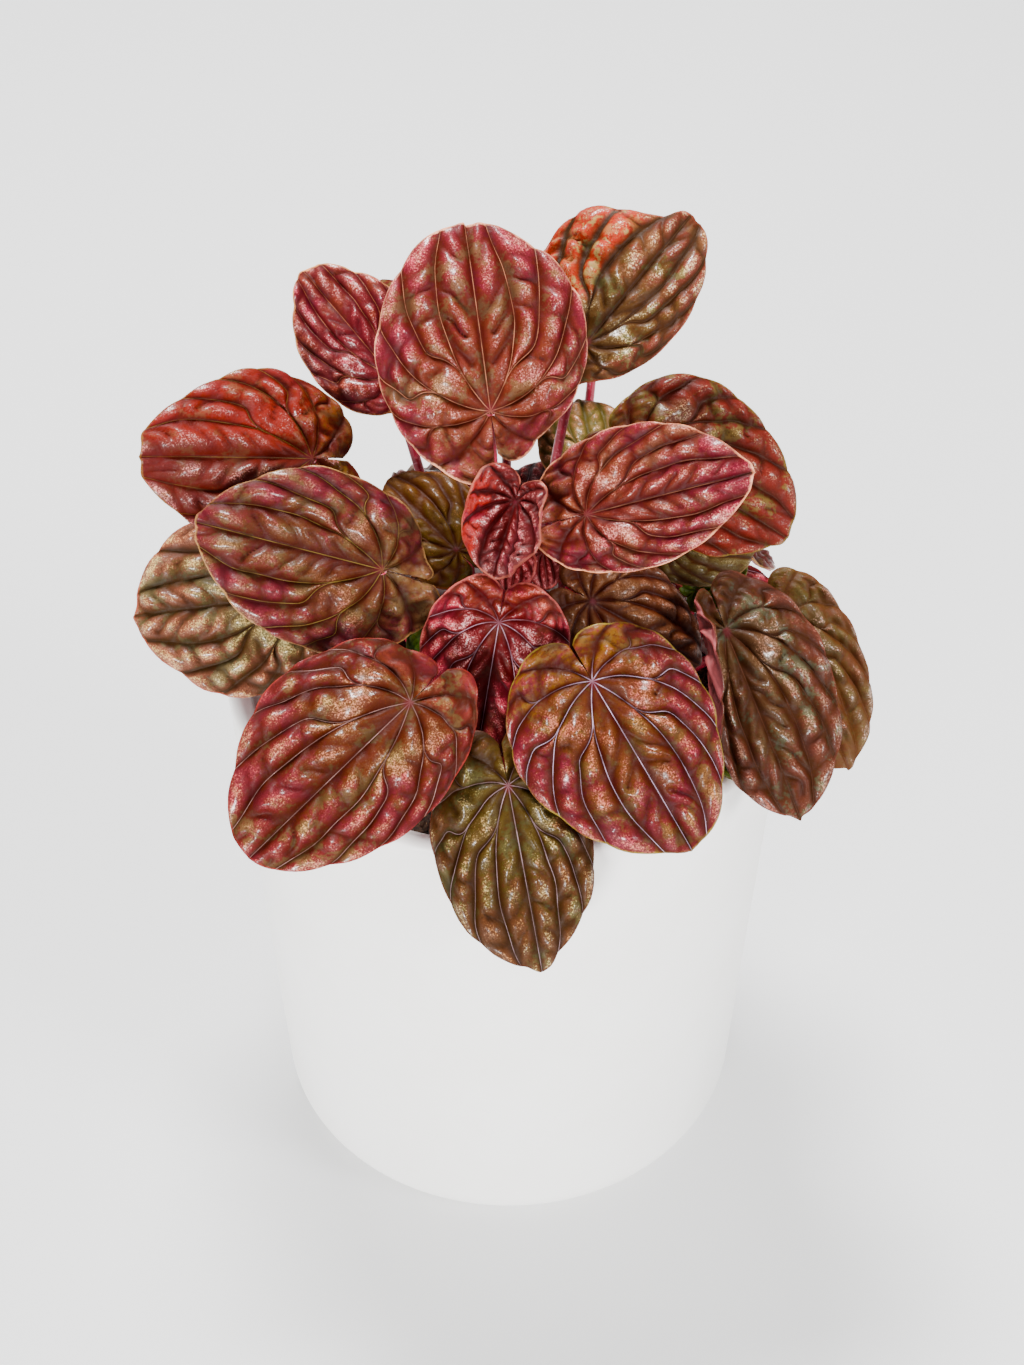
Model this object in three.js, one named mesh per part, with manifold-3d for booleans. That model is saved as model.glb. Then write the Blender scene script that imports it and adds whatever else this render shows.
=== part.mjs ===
// Ripple peperomia in a plain white cover pot.
//
// Millimetres, +Z up. The origin is the centre of the pot's underside, the front of the plant faces -Y.
// Each leaf is one solid: a heart-shaped blade, quilted between its sunken veins, fused to its own
// stalk (petiole). The stalks stand in plain holes in the soil and spread from the middle of the pot.

import * as THREE from 'three';
import { mergeVertices } from 'three/addons/utils/BufferGeometryUtils.js';
import Module from 'manifold-3d';

const wasm = await Module();
wasm.setup();

// ---------------------------------------------------------------- driving dimensions

const GAP = 0.3;                    // clearance between pieces that touch
const POT_HEIGHT = 148;
const POT_RIM_RADIUS = 70;          // outside, at the lip
const POT_BASE_RADIUS = 61.5;       // where the tapered wall would meet the table
const POT_FOOT_ROUNDING = 12;       // rounded edge between the wall and the underside
const POT_WALL = 5.5;
const POT_FLOOR = 6;
const POT_SIDES = 36;

const SOIL_BELOW_RIM = 29;
const SOIL_TOP = POT_HEIGHT - SOIL_BELOW_RIM;
const SOIL_MOUND = 2.5;             // the soil is a little higher in the middle
const STALK_DEPTH = 8;              // how far a stalk goes into the soil
const STALK_SIDES = 5;
const STALK_STEPS = 5;

const STALK_RADIUS = 1.5;
const THIN_STALK_RADIUS = 1.2;      // of leaves up to THIN_STALK_UP_TO long
const THIN_STALK_UP_TO = 30;
const HOLE_CLEARANCE = 0.45;        // round a stalk in its hole in the soil

const BLADE_THICKNESS = 1.2;
const RIPPLE_HEIGHT = 0.055;        // of the blade's length: how high the ridges stand above the veins

// Directions of the main veins, in degrees from the midrib, where they leave the junction and where
// they reach the margin: the midrib, four side veins, and the edge of the notch at the stalk.
const VEIN_LEAVES_AT = [0, 43, 84, 116, 148, 172];
const VEIN_ENDS_AT = [0, 9, 46, 82, 124, 172];

// Branch veins lie between two main veins, start part way out, and are less deep.
const BRANCHES = [
  { between: 1.5, start: 0.3, depth: 0.8 },
  { between: 2.5, start: 0.45, depth: 0.6 },
];
const GROOVE_WIDTH = 0.04;          // of the blade's length: how quickly a groove rises to its ridge

// Outline of the blade: distance from the junction, as a share of the blade's length, by direction.
const OUTLINE_AT = [0, 30, 60, 90, 120, 145, 162, 172];
const OUTLINE_REACH = [1, 0.86, 0.71, 0.57, 0.46, 0.38, 0.3, 0.19];

// How finely a blade is divided: vein numbers across one half, and shares of the way to the margin.
const DETAIL = {
  large: {
    across: [0, 0.5, 1, 1.25, 1.5, 1.75, 2, 2.5, 3, 3.5, 4, 4.5, 5],
    along: [0.24, 0.5, 0.76, 1],
    branched: true,
  },
  medium: { across: [0, 0.5, 1, 1.5, 2, 2.5, 3, 4, 5], along: [0.3, 0.65, 1], branched: false },
  small: { across: [0, 0.5, 1, 1.5, 2, 3, 5], along: [0.35, 0.7, 1], branched: false },
};

const COLOURS = {
  pot: 0xf1eff0,
  soil: 0x2b211b,
  rose: 0xa8474f,
  red: 0x9c2f2a,
  rust: 0x8a4a34,
  bronze: 0x6f4a30,
  olive: 0x6d6438,
  green: 0x7b8a45,
  crimson: 0x8f2035,
};

// ---------------------------------------------------------------- the leaves
//
// at: the junction of stalk and blade. heading: direction of the midrib seen from above, from +X
// towards +Y. pitch: how far the tip points up. roll: turn about the midrib, left half up.
// half: width factors of the left and right half. cup: how far each half bends up, and droop: how
// far the tip bends down, in degrees. folds: bends about a line through [x, y] of the flat blade in
// the given direction, the side to its left turning up by the angle over the stated spread.
// root: where the stalk enters the soil. arrive: the stalk's direction at the junction, as amounts
// of midrib, upper face and straight up. lean: length of its straight starts, as a share of its span.
// size: how finely the blade is divided.

const USUAL_LEAF = {
  size: 'medium',
  roll: 0,
  half: [0.8, 0.8],
  cup: [-12, -12],
  droop: 10,
  folds: [],
  arrive: [0.35, 0.6, 0.6],
  lean: 0.35,
};

const CROWN_LEAVES = [
  { name: 'leaf_crown_front', size: 'large', colour: 'rose', length: 45, at: [-4, -8, 227], root: [2, 0],
    heading: 101, pitch: 44, roll: -5, half: [0.86, 0.86], cup: [-12, -15], droop: 20 },
  { name: 'leaf_crown_right', size: 'large', colour: 'red', length: 41, at: [18, 16, 229], root: [7, 5],
    heading: 46, pitch: 28, roll: 35, half: [0.9, 0.54], cup: [-10, -10],
    folds: [{ through: [0, 0], direction: 18, angle: -30, spread: 6 }] },
  { name: 'leaf_crown_left', colour: 'rose', length: 34, at: [-28, 20, 218], root: [-9, 6],
    heading: 134, pitch: 26, roll: -28, half: [0.62, 0.66], cup: [-10, -10] },
];

const LEFT_LEAVES = [
  { name: 'leaf_left_upper', size: 'large', colour: 'red', length: 42, at: [-46, 0, 208], root: [-15, 0],
    heading: -161, pitch: 14, roll: -50, half: [0.82, 0.82] },
  { name: 'leaf_left_middle', size: 'large', colour: 'rust', length: 44, at: [-29, -25, 195], root: [-13, -9],
    heading: 177, pitch: 16, roll: -52, half: [0.8, 0.74], cup: [-15, -15], droop: 15 },
  { name: 'leaf_left_lower', size: 'large', colour: 'olive', length: 39, at: [-52, -10, 175], root: [-21, -5],
    heading: 178, pitch: -11, roll: -48, half: [0.92, 0.92], cup: [-15, -15], droop: 15 },
];

const FRONT_LEAVES = [
  { name: 'leaf_front_left', size: 'large', colour: 'rust', length: 52, at: [-22, -53, 179], root: [-13, -19],
    heading: -145, pitch: -29, roll: -38, half: [0.66, 0.77], cup: [-12, -15], droop: 20 },
  { name: 'leaf_front_low', size: 'large', colour: 'olive', length: 43, at: [0, -60, 160], root: [0, -26],
    heading: -74, pitch: -49, roll: 10, half: [0.68, 0.68], cup: [-20, -20], droop: 20 },
  { name: 'leaf_front_right', size: 'large', colour: 'red', length: 46, at: [19, -48, 181], root: [8, -24],
    heading: -45, pitch: -44, roll: 30, half: [0.74, 0.88], cup: [-12, -15], droop: 20 },
  { name: 'leaf_heart_front', size: 'large', colour: 'crimson', length: 33, at: [-2, -34, 187],
    root: [-2, -14], heading: -117, pitch: -70, roll: -20, cup: [-10, -10] },
  { name: 'leaf_heart_folded', colour: 'crimson', length: 18, at: [2, -22, 212], root: [1, -8],
    heading: -119, pitch: -52, half: [1.1, 1.1], cup: [20, 20], droop: 0 },
];

const RIGHT_LEAVES = [
  { name: 'leaf_right_upper', size: 'large', colour: 'rose', length: 40, at: [18, -24, 210], root: [9, -3],
    heading: -10, pitch: 24, roll: 52, half: [0.72, 0.6], arrive: [0.35, 0.9, 0], lean: 0.4 },
  { name: 'leaf_right_back', size: 'large', colour: 'red', length: 42, at: [31, 1, 210], root: [14, 0],
    heading: -8, pitch: -32, roll: 52, half: [0.76, 0.66] },
  { name: 'leaf_right_dark', size: 'large', colour: 'bronze', length: 34, at: [19, -23, 184], root: [14, -10],
    heading: 4, pitch: -38, roll: 45, half: [0.72, 0.75] },
  { name: 'leaf_right_rolled', size: 'large', colour: 'bronze', length: 48, at: [51, -23, 175],
    root: [22, -8], heading: -62, pitch: -40, roll: 18, half: [0.68, 0.52], arrive: [0.35, 0.9, 0],
    folds: [{ through: [0, -2], direction: 167, angle: 120, spread: 8 }] },
  { name: 'leaf_right_outer', size: 'large', colour: 'bronze', length: 39, at: [66, -10, 167], root: [26, 1],
    heading: -57, pitch: -42, roll: 15, half: [0.64, 0.64] },
];

const INNER_LEAVES = [
  { name: 'leaf_inner_olive', colour: 'olive', length: 26, at: [-12, -12, 190], root: [-7, -5],
    heading: 132, pitch: 13, roll: -20, half: [0.76, 0.76] },
  { name: 'leaf_inner_green', colour: 'green', length: 22, at: [21, 28, 187], root: [8, 12],
    heading: 98, pitch: 10, half: [0.95, 0.95] },
  { name: 'leaf_inner_flat', colour: 'olive', length: 28, at: [35, 4, 183], root: [15, -5],
    heading: 15, pitch: -19, roll: 20 },
  { name: 'leaf_inner_lime', size: 'small', colour: 'green', length: 14, at: [47, 8, 162], root: [21, 3],
    heading: 10, pitch: 30, roll: 20 },
  { name: 'leaf_low_left', colour: 'green', length: 15, at: [-17, -29, 170], root: [-15, -15],
    heading: 92, pitch: 33, roll: -20 },
  { name: 'leaf_low_right', colour: 'green', length: 20, at: [48, -33, 156], root: [19, -15],
    heading: -35, pitch: -35 },
  { name: 'leaf_bud_left', size: 'small', colour: 'crimson', length: 9, at: [2, -20, 195], root: [4, -12],
    heading: -100, pitch: -40, half: [0.9, 0.9], cup: [20, 20], droop: 0, lean: 0.2 },
  { name: 'leaf_bud_right', size: 'small', colour: 'crimson', length: 9, at: [8, -16, 193], root: [9, -13],
    heading: -80, pitch: -40, half: [0.9, 0.9], cup: [20, 20], droop: 0, lean: 0.2 },
  { name: 'leaf_bud_narrow', size: 'small', colour: 'crimson', length: 15, at: [-7, 8, 187], root: [-7, 4],
    heading: 140, pitch: 40, roll: -60, half: [0.5, 0.5], cup: [20, 20], droop: 0 },
];

const BACK_LEAVES = [
  { name: 'leaf_back_crown', colour: 'rose', length: 38, at: [-8, 30, 203], root: [-2, 8],
    heading: 95, pitch: 15 },
  { name: 'leaf_back_high_left', colour: 'red', length: 33, at: [-18, 52, 202], root: [-6, 11],
    heading: 120, pitch: 6 },
  { name: 'leaf_back_high_right', colour: 'olive', length: 33, at: [22, 60, 208], root: [11, 17],
    heading: 95, pitch: 10, roll: 5 },
  { name: 'leaf_back_centre', colour: 'bronze', length: 33, at: [0, 56, 196], root: [0, 20],
    heading: 83, pitch: -2 },
  { name: 'leaf_back_right', colour: 'rust', length: 38, at: [40, 32, 174], root: [13, 9],
    heading: 48, pitch: -14 },
  { name: 'leaf_back_right_low', colour: 'crimson', length: 28, at: [47, 19, 161], root: [19, 10],
    heading: 8, pitch: -25, roll: 10, half: [0.65, 0.65] },
  { name: 'leaf_back_left', colour: 'red', length: 36, at: [-50, 36, 186], root: [-16, 11],
    heading: 135, pitch: -5 },
  { name: 'leaf_back_left_low', colour: 'olive', length: 36, at: [-60, 20, 160], root: [-22, 6],
    heading: 160, pitch: -25 },
  { name: 'leaf_rear_left', colour: 'rust', length: 33, at: [-14, 50, 166], root: [-5, 20],
    heading: 98, pitch: -32 },
  { name: 'leaf_rear_right', colour: 'bronze', length: 38, at: [22, 50, 163], root: [8, 20],
    heading: 78, pitch: -30 },
  { name: 'leaf_rear_outer_left', colour: 'olive', length: 37, at: [-44, 48, 154], root: [-15, 18],
    heading: 128, pitch: -38 },
  { name: 'leaf_rear_outer_right', colour: 'rust', length: 32, at: [52, 44, 156], root: [18, 16],
    heading: 34, pitch: -45 },
  { name: 'leaf_back_inner', colour: 'crimson', length: 24, at: [6, 24, 175], root: [4, 14],
    heading: 80, pitch: -5, half: [0.7, 0.7] },
];

const LEAVES = [
  ...CROWN_LEAVES, ...LEFT_LEAVES, ...FRONT_LEAVES, ...RIGHT_LEAVES, ...INNER_LEAVES, ...BACK_LEAVES,
];

// ---------------------------------------------------------------- small helpers

const radians = THREE.MathUtils.degToRad;
const smooth = THREE.MathUtils.smoothstep;

// Straight-line interpolation in a table of values at 0, 1, 2, ...
function between(values, place) {
  const start = Math.min(Math.floor(place), values.length - 2);
  return THREE.MathUtils.lerp(values[start], values[start + 1], place - start);
}

// Smooth interpolation of ys over rising xs.
function curveThrough(xs, ys, x) {
  const last = xs.length - 1;
  let i = 0;
  while (i < last - 1 && x >= xs[i + 1]) i += 1;
  const slope = (k) => {
    const low = Math.max(k - 1, 0);
    const high = Math.min(k + 1, last);
    return (ys[high] - ys[low]) / (xs[high] - xs[low]);
  };
  const h = xs[i + 1] - xs[i];
  const u = (x - xs[i]) / h;
  const start = (1 + 2 * u) * (1 - u) ** 2 * ys[i] + u * (1 - u) ** 2 * h * slope(i);
  const end = u * u * (3 - 2 * u) * ys[i + 1] + u * u * (u - 1) * h * slope(i + 1);
  return start + end;
}

// A closed three.js geometry as a manifold solid: shared corners merged, collapsed triangles left out.
function toSolid(geometry) {
  const bare = geometry.clone();
  bare.deleteAttribute('normal');
  bare.deleteAttribute('uv');
  const merged = mergeVertices(bare);
  const index = Array.from(merged.index.array);
  const triVerts = [];
  for (let i = 0; i < index.length; i += 3) {
    const [a, b, c] = index.slice(i, i + 3);
    if (a !== b && b !== c && c !== a) triVerts.push(a, b, c);
  }
  return new wasm.Manifold(new wasm.Mesh({
    numProp: 3,
    vertProperties: new Float32Array(merged.attributes.position.array),
    triVerts: new Uint32Array(triVerts),
  }));
}

function toGeometry(solid) {
  const { vertProperties, triVerts } = solid.getMesh();
  const geometry = new THREE.BufferGeometry();
  geometry.setAttribute('position', new THREE.BufferAttribute(vertProperties, 3));
  geometry.setIndex(new THREE.BufferAttribute(triVerts, 1));
  geometry.computeVertexNormals();
  return geometry;
}

function namedMesh(name, geometry, colour, roughness) {
  const material = new THREE.MeshStandardMaterial({ color: colour, roughness, metalness: 0 });
  const mesh = new THREE.Mesh(geometry, material);
  mesh.name = name;
  return mesh;
}

// Turns a profile of [radius, height] points about the vertical axis.
function turned(profile, sides) {
  const points = profile.map(([radius, height]) => new THREE.Vector2(radius, height));
  return new THREE.LatheGeometry(points, sides).rotateX(Math.PI / 2);
}

// ---------------------------------------------------------------- pot and soil

// Outer radius of the tapered wall at a height.
function wallRadius(height) {
  return THREE.MathUtils.lerp(POT_BASE_RADIUS, POT_RIM_RADIUS, height / POT_HEIGHT);
}

function arcPoints(centre, radius, from, to, steps) {
  return Array.from({ length: steps + 1 }, (_, i) => {
    const angle = radians(THREE.MathUtils.lerp(from, to, i / steps));
    return [centre[0] + radius * Math.cos(angle), centre[1] + radius * Math.sin(angle)];
  });
}

function buildPot() {
  const footCentre = [wallRadius(POT_FOOT_ROUNDING) - POT_FOOT_ROUNDING, POT_FOOT_ROUNDING];
  const lip = POT_WALL / 2;
  const lipCentre = [POT_RIM_RADIUS - lip, POT_HEIGHT - lip];
  const innerFoot = wallRadius(POT_FLOOR) - POT_WALL;
  const innerRounding = POT_FOOT_ROUNDING - POT_WALL;
  const innerCentre = [innerFoot - innerRounding, POT_FLOOR + innerRounding];
  return turned([
    [0, 0],
    ...arcPoints(footCentre, POT_FOOT_ROUNDING, -90, 0, 3),
    ...arcPoints(lipCentre, lip, 0, 180, 4),
    ...arcPoints(innerCentre, innerRounding, 0, -90, 2),
    [0, POT_FLOOR],
  ], POT_SIDES);
}

function buildSoil(stalkHoles) {
  const inset = POT_WALL + 2 * GAP;
  const bottom = POT_FLOOR + GAP;
  const bottomRadius = wallRadius(POT_FLOOR) - POT_FOOT_ROUNDING;
  const shoulder = POT_FLOOR + POT_FOOT_ROUNDING;
  const topRadius = wallRadius(SOIL_TOP) - inset;
  const soil = turned([
    [0, bottom],
    [bottomRadius, bottom],
    [wallRadius(shoulder) - inset, shoulder],
    [topRadius, SOIL_TOP],
    [topRadius * 0.6, SOIL_TOP + SOIL_MOUND * 0.7],
    [0, SOIL_TOP + SOIL_MOUND],
  ], POT_SIDES);
  return toGeometry(toSolid(soil).subtract(wasm.Manifold.union(stalkHoles)));
}

// ---------------------------------------------------------------- leaves

// Direction, in degrees from the midrib, of vein number `vein` at share `out` of its way to the margin.
function veinDirection(vein, out) {
  const leaves = between(VEIN_LEAVES_AT, vein);
  const ends = between(VEIN_ENDS_AT, vein);
  return THREE.MathUtils.lerp(leaves, ends, out);
}

// Height of the quilted surface above the veins: low on every vein, high midway between two.
function quiltHeight(vein, out, reach, leaf) {
  const here = veinDirection(vein, out);
  const groove = GROOVE_WIDTH * leaf.length;
  const crest = RIPPLE_HEIGHT * leaf.length;
  let height = crest * smooth(out, 0, 0.3) * (1 - 0.5 * smooth(out, 0.8, 1));
  const sink = (number, depth) => {
    const distance = reach * radians(Math.abs(here - veinDirection(number, out)));
    height *= 1 - depth * Math.exp(-distance / groove);
  };
  for (let number = 0; number < VEIN_ENDS_AT.length - 1; number += 1) sink(number, 1);
  for (const branch of DETAIL[leaf.size].branched ? BRANCHES : []) {
    sink(branch.between, branch.depth * smooth(out, branch.start, branch.start + 0.2));
  }
  return height;
}

// Bends a point about a line of the flat blade: the side to the left of the line turns up.
function bend(point, { through = [0, 0], direction, angle, spread }) {
  const along = new THREE.Vector2(Math.cos(radians(direction)), Math.sin(radians(direction)));
  const x = point.x - through[0];
  const y = point.y - through[1];
  const side = y * along.x - x * along.y;
  if (side <= 0 || angle === 0) return point;
  const run = x * along.x + y * along.y;
  const curvature = radians(angle) / spread;
  const turn = curvature * Math.min(side, spread);
  const straight = Math.max(side - spread, 0);
  const level = Math.sin(turn) / curvature + straight * Math.cos(turn) - point.z * Math.sin(turn);
  const rise = (1 - Math.cos(turn)) / curvature + straight * Math.sin(turn) + point.z * Math.cos(turn);
  return point.set(
    through[0] + run * along.x - level * along.y,
    through[1] + run * along.y + level * along.x,
    rise,
  );
}

// Axes of a leaf in the pot's frame: x along the midrib, y to the left half, z out of the upper face.
function leafAxes(leaf) {
  const turn = new THREE.Euler(radians(leaf.roll), -radians(leaf.pitch), radians(leaf.heading), 'ZYX');
  return new THREE.Matrix4().makeRotationFromEuler(turn).setPosition(...leaf.at);
}

// A point of the blade's upper (side 1) or lower (side -1) face. Veins on the right half are negative.
function bladePoint(leaf, axes, vein, out, side) {
  const number = Math.abs(vein);
  const direction = radians(veinDirection(number, out));
  const margin = curveThrough(OUTLINE_AT, OUTLINE_REACH, between(VEIN_ENDS_AT, number));
  const reach = out * margin * leaf.length;
  const half = vein > 0 ? leaf.half[0] : -leaf.half[1];
  const height = quiltHeight(number, out, reach, leaf) + side * BLADE_THICKNESS / 2;
  const point = new THREE.Vector3(reach * Math.cos(direction), half * reach * Math.sin(direction), height);
  for (const fold of leaf.folds) bend(point, fold);
  bend(point, { direction: 0, angle: leaf.cup[0], spread: 0.6 * leaf.length });
  bend(point, { direction: 180, angle: leaf.cup[1], spread: 0.6 * leaf.length });
  bend(point, { direction: -90, angle: -leaf.droop, spread: leaf.length });
  point.applyAxisAngle(new THREE.Vector3(0, 1, 0), -radians(leaf.droop / 2));
  return point.applyMatrix4(axes);
}

// The blade as a closed sheet of even thickness, with the same triangles on both faces.
function bladeGeometry(leaf, axes) {
  const { across, along } = DETAIL[leaf.size];
  const veins = [...across.slice(1).map((number) => -number).reverse(), ...across];
  const positions = [];
  const index = [];
  const faceSize = 1 + veins.length * along.length;
  for (const side of [1, -1]) {
    positions.push(...bladePoint(leaf, axes, 0, 0, side).toArray());
    for (const out of along) {
      for (const vein of veins) positions.push(...bladePoint(leaf, axes, vein, out, side).toArray());
    }
  }
  const corner = (row, column) => (row < 0 ? 0 : 1 + row * veins.length + column);
  const bothFaces = (a, b, c) => index.push(a, b, c, faceSize + a, faceSize + c, faceSize + b);
  for (let column = 0; column < veins.length - 1; column += 1) {
    bothFaces(0, corner(0, column), corner(0, column + 1));
    for (let row = 0; row < along.length - 1; row += 1) {
      const inner = corner(row, column);
      const outer = corner(row + 1, column);
      bothFaces(inner, outer, outer + 1);
      bothFaces(inner, outer + 1, inner + 1);
    }
  }
  const lastRow = along.length - 1;
  const lastColumn = veins.length - 1;
  const rightNotch = along.map((_, row) => corner(row, 0));
  const marginCorners = veins.map((_, column) => corner(lastRow, column));
  const leftNotch = along.map((_, row) => corner(row, lastColumn)).reverse();
  const rim = [0, ...rightNotch, ...marginCorners.slice(1), ...leftNotch.slice(1)];
  rim.forEach((a, i) => {
    const b = rim[(i + 1) % rim.length];
    index.push(a, faceSize + a, faceSize + b, a, faceSize + b, b);
  });
  const geometry = new THREE.BufferGeometry();
  geometry.setAttribute('position', new THREE.Float32BufferAttribute(positions, 3));
  geometry.setIndex(index);
  return geometry;
}

// The stalk rises from its root, leans out and meets the blade's underside at the junction.
function stalkGeometry(leaf, axes, radius) {
  const junction = new THREE.Vector3(...leaf.at);
  const foot = new THREE.Vector3(...leaf.root, SOIL_TOP - STALK_DEPTH);
  const [forward, upFace, upright] = leaf.arrive;
  const arrival = new THREE.Vector3(forward, 0, upFace);
  arrival.applyMatrix4(new THREE.Matrix4().extractRotation(axes));
  arrival.z += upright;
  arrival.normalize();
  const span = junction.distanceTo(foot);
  const lean = leaf.lean * span;
  const path = new THREE.CubicBezierCurve3(
    foot,
    foot.clone().add(new THREE.Vector3(0, 0, lean)),
    junction.clone().addScaledVector(arrival, -lean),
    junction,
  );
  const section = new THREE.Shape(Array.from({ length: STALK_SIDES }, (_, i) => {
    const angle = (2 * Math.PI * i) / STALK_SIDES;
    return new THREE.Vector2(radius * Math.cos(angle), radius * Math.sin(angle));
  }));
  return new THREE.ExtrudeGeometry(section, { steps: STALK_STEPS, extrudePath: path });
}

function buildLeaf(leaf) {
  const axes = leafAxes(leaf);
  const radius = leaf.length > THIN_STALK_UP_TO ? STALK_RADIUS : THIN_STALK_RADIUS;
  const blade = toSolid(bladeGeometry(leaf, axes));
  const stalk = toSolid(stalkGeometry(leaf, axes, radius));
  return {
    geometry: toGeometry(blade.add(stalk)),
    hole: toSolid(stalkGeometry(leaf, axes, radius + HOLE_CLEARANCE)).translate([0, 0, -GAP]),
  };
}

// ---------------------------------------------------------------- the plant

const plant = new THREE.Group();
const holes = [];
for (const entry of LEAVES) {
  const leaf = { ...USUAL_LEAF, ...entry };
  const { geometry, hole } = buildLeaf(leaf);
  holes.push(hole);
  plant.add(namedMesh(leaf.name, geometry, COLOURS[leaf.colour], 0.45));
}
plant.add(namedMesh('soil', buildSoil(holes), COLOURS.soil, 0.95));
plant.add(namedMesh('pot', buildPot(), COLOURS.pot, 0.5));

export default plant;
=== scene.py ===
"""Ripple peperomia in a plain white cover pot: fine shapes and finishes over the fixed frame.

Lengths are millimetres in the tables and formulas, and metres in the meshes. The front of the plant
faces -Y and the pot stands on z = 0.
"""

import logging
import math
from dataclasses import dataclass, field
from enum import Enum

import bpy
import numpy as np
from mathutils import Matrix, Vector


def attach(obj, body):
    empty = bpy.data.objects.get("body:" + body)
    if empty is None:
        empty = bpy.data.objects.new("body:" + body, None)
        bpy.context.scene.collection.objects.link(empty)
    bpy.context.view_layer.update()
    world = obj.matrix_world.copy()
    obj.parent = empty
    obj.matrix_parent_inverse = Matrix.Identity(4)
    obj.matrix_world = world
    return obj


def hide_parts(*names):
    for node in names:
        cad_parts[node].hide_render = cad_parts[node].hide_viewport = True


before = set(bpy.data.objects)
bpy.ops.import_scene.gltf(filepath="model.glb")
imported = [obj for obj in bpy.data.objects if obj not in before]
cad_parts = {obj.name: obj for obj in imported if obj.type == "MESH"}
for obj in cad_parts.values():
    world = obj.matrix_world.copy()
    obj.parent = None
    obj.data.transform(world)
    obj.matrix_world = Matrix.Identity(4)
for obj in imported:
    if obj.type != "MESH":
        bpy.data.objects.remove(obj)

log = logging.getLogger("peperomia")

MM = 0.001
Colour = tuple[int, int, int]
Pair = tuple[float, float]
Triple = tuple[float, float, float]


# ---------------------------------------------------------------- driving dimensions

POT_HEIGHT = 148.0
POT_RIM_RADIUS = 70.0
POT_BASE_RADIUS = 61.5
POT_FOOT_ROUNDING = 12.0
POT_WALL = 5.5
POT_FLOOR = 6.0
SOIL_TOP = POT_HEIGHT - 29.0
SOIL_MOUND = 2.5
STALK_DEPTH = 8.0

# Directions of the main veins from the midrib, in degrees, at the junction and at the margin.
VEIN_LEAVES_AT = (0.0, 43.0, 84.0, 116.0, 148.0, 177.0)
VEIN_ENDS_AT = (0.0, 9.0, 46.0, 82.0, 124.0, 177.0)
LAST_VEIN = 5

# Outline of a blade: distance from the junction as a share of its length, by direction.
OUTLINE_AT = (0.0, 30.0, 60.0, 90.0, 120.0, 145.0, 162.0, 177.0)
OUTLINE_REACH = (1.0, 0.86, 0.71, 0.57, 0.46, 0.38, 0.31, 0.23)

# How far the margin is drawn in where a vein meets it, as a share of the reach.
VEIN_DENT = 0.013

BLADE_THICKNESS = 0.9
RIPPLE_HEIGHT = 0.055


# How bright white would be where the leaves are: their base colours are divided by it.
LEAF_LIGHT = 3.0


# ---------------------------------------------------------------- number helpers


def smooth(x: np.ndarray, low: float, high: float) -> np.ndarray:
    """Smooth step from 0 at low to 1 at high."""
    u = np.clip((x - low) / (high - low), 0.0, 1.0)
    return u * u * (3.0 - 2.0 * u)


def curve_through(xs: tuple[float, ...], ys: tuple[float, ...], x: np.ndarray) -> np.ndarray:
    """Smooth interpolation through points.

    Args:
        xs: rising positions of the points.
        ys: values at those positions.
        x: where the curve is wanted.

    Returns:
        The curve's values at x.
    """
    px, py = np.array(xs), np.array(ys)
    slope = np.gradient(py, px)
    inner = (py[2:] - py[:-2]) / (px[2:] - px[:-2])
    slope[1:-1] = inner
    i = np.clip(np.searchsorted(px, x, side="right") - 1, 0, len(px) - 2)
    h = px[i + 1] - px[i]
    u = (x - px[i]) / h
    start = (1 + 2 * u) * (1 - u) ** 2 * py[i] + u * (1 - u) ** 2 * h * slope[i]
    end = u * u * (3 - 2 * u) * py[i + 1] + u * u * (u - 1) * h * slope[i + 1]
    return start + end


class Swell:
    """A smooth random field over the flat blade, made of plane waves, about -1 to 1."""

    def __init__(self, rng: np.random.Generator, wavelength: float, waves: int = 14) -> None:
        """Draws the directions, lengths and phases of the waves."""
        angle = rng.uniform(0.0, 2.0 * math.pi, waves)
        length = wavelength * rng.uniform(0.75, 1.5, waves)
        self.kx = 2.0 * math.pi * np.cos(angle) / length
        self.ky = 2.0 * math.pi * np.sin(angle) / length
        self.phase = rng.uniform(0.0, 2.0 * math.pi, waves)

    def at(self, x: np.ndarray, y: np.ndarray) -> np.ndarray:
        """Value of the field at points (x, y)."""
        waves = np.cos(np.multiply.outer(x, self.kx) + np.multiply.outer(y, self.ky) + self.phase)
        return waves.sum(axis=-1) / math.sqrt(2.0 * len(self.phase))


def distance_to_line(x: np.ndarray, y: np.ndarray, line: np.ndarray) -> np.ndarray:
    """Distance from points to a polyline.

    Args:
        x: first coordinates of the points.
        y: second coordinates of the points.
        line: (n, 2) corners of the polyline.

    Returns:
        The shortest distance for each point.
    """
    best = np.full(x.shape, np.inf)
    for a, b in zip(line[:-1], line[1:]):
        d = b - a
        size = float(d @ d)
        if size < 1e-12:
            continue
        u = np.clip(((x - a[0]) * d[0] + (y - a[1]) * d[1]) / size, 0.0, 1.0)
        best = np.minimum(best, np.hypot(x - a[0] - u * d[0], y - a[1] - u * d[1]))
    return best


# ---------------------------------------------------------------- shader expressions


def srgb(colour: Colour, strength: float = 1.0) -> tuple[float, float, float, float]:
    """An 8-bit display colour as linear RGBA, times a strength."""
    linear = []
    for channel in colour:
        c = channel / 255.0
        linear.append(strength * (c / 12.92 if c <= 0.04045 else ((c + 0.055) / 1.055) ** 2.4))
    return (*linear, 1.0)


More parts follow.
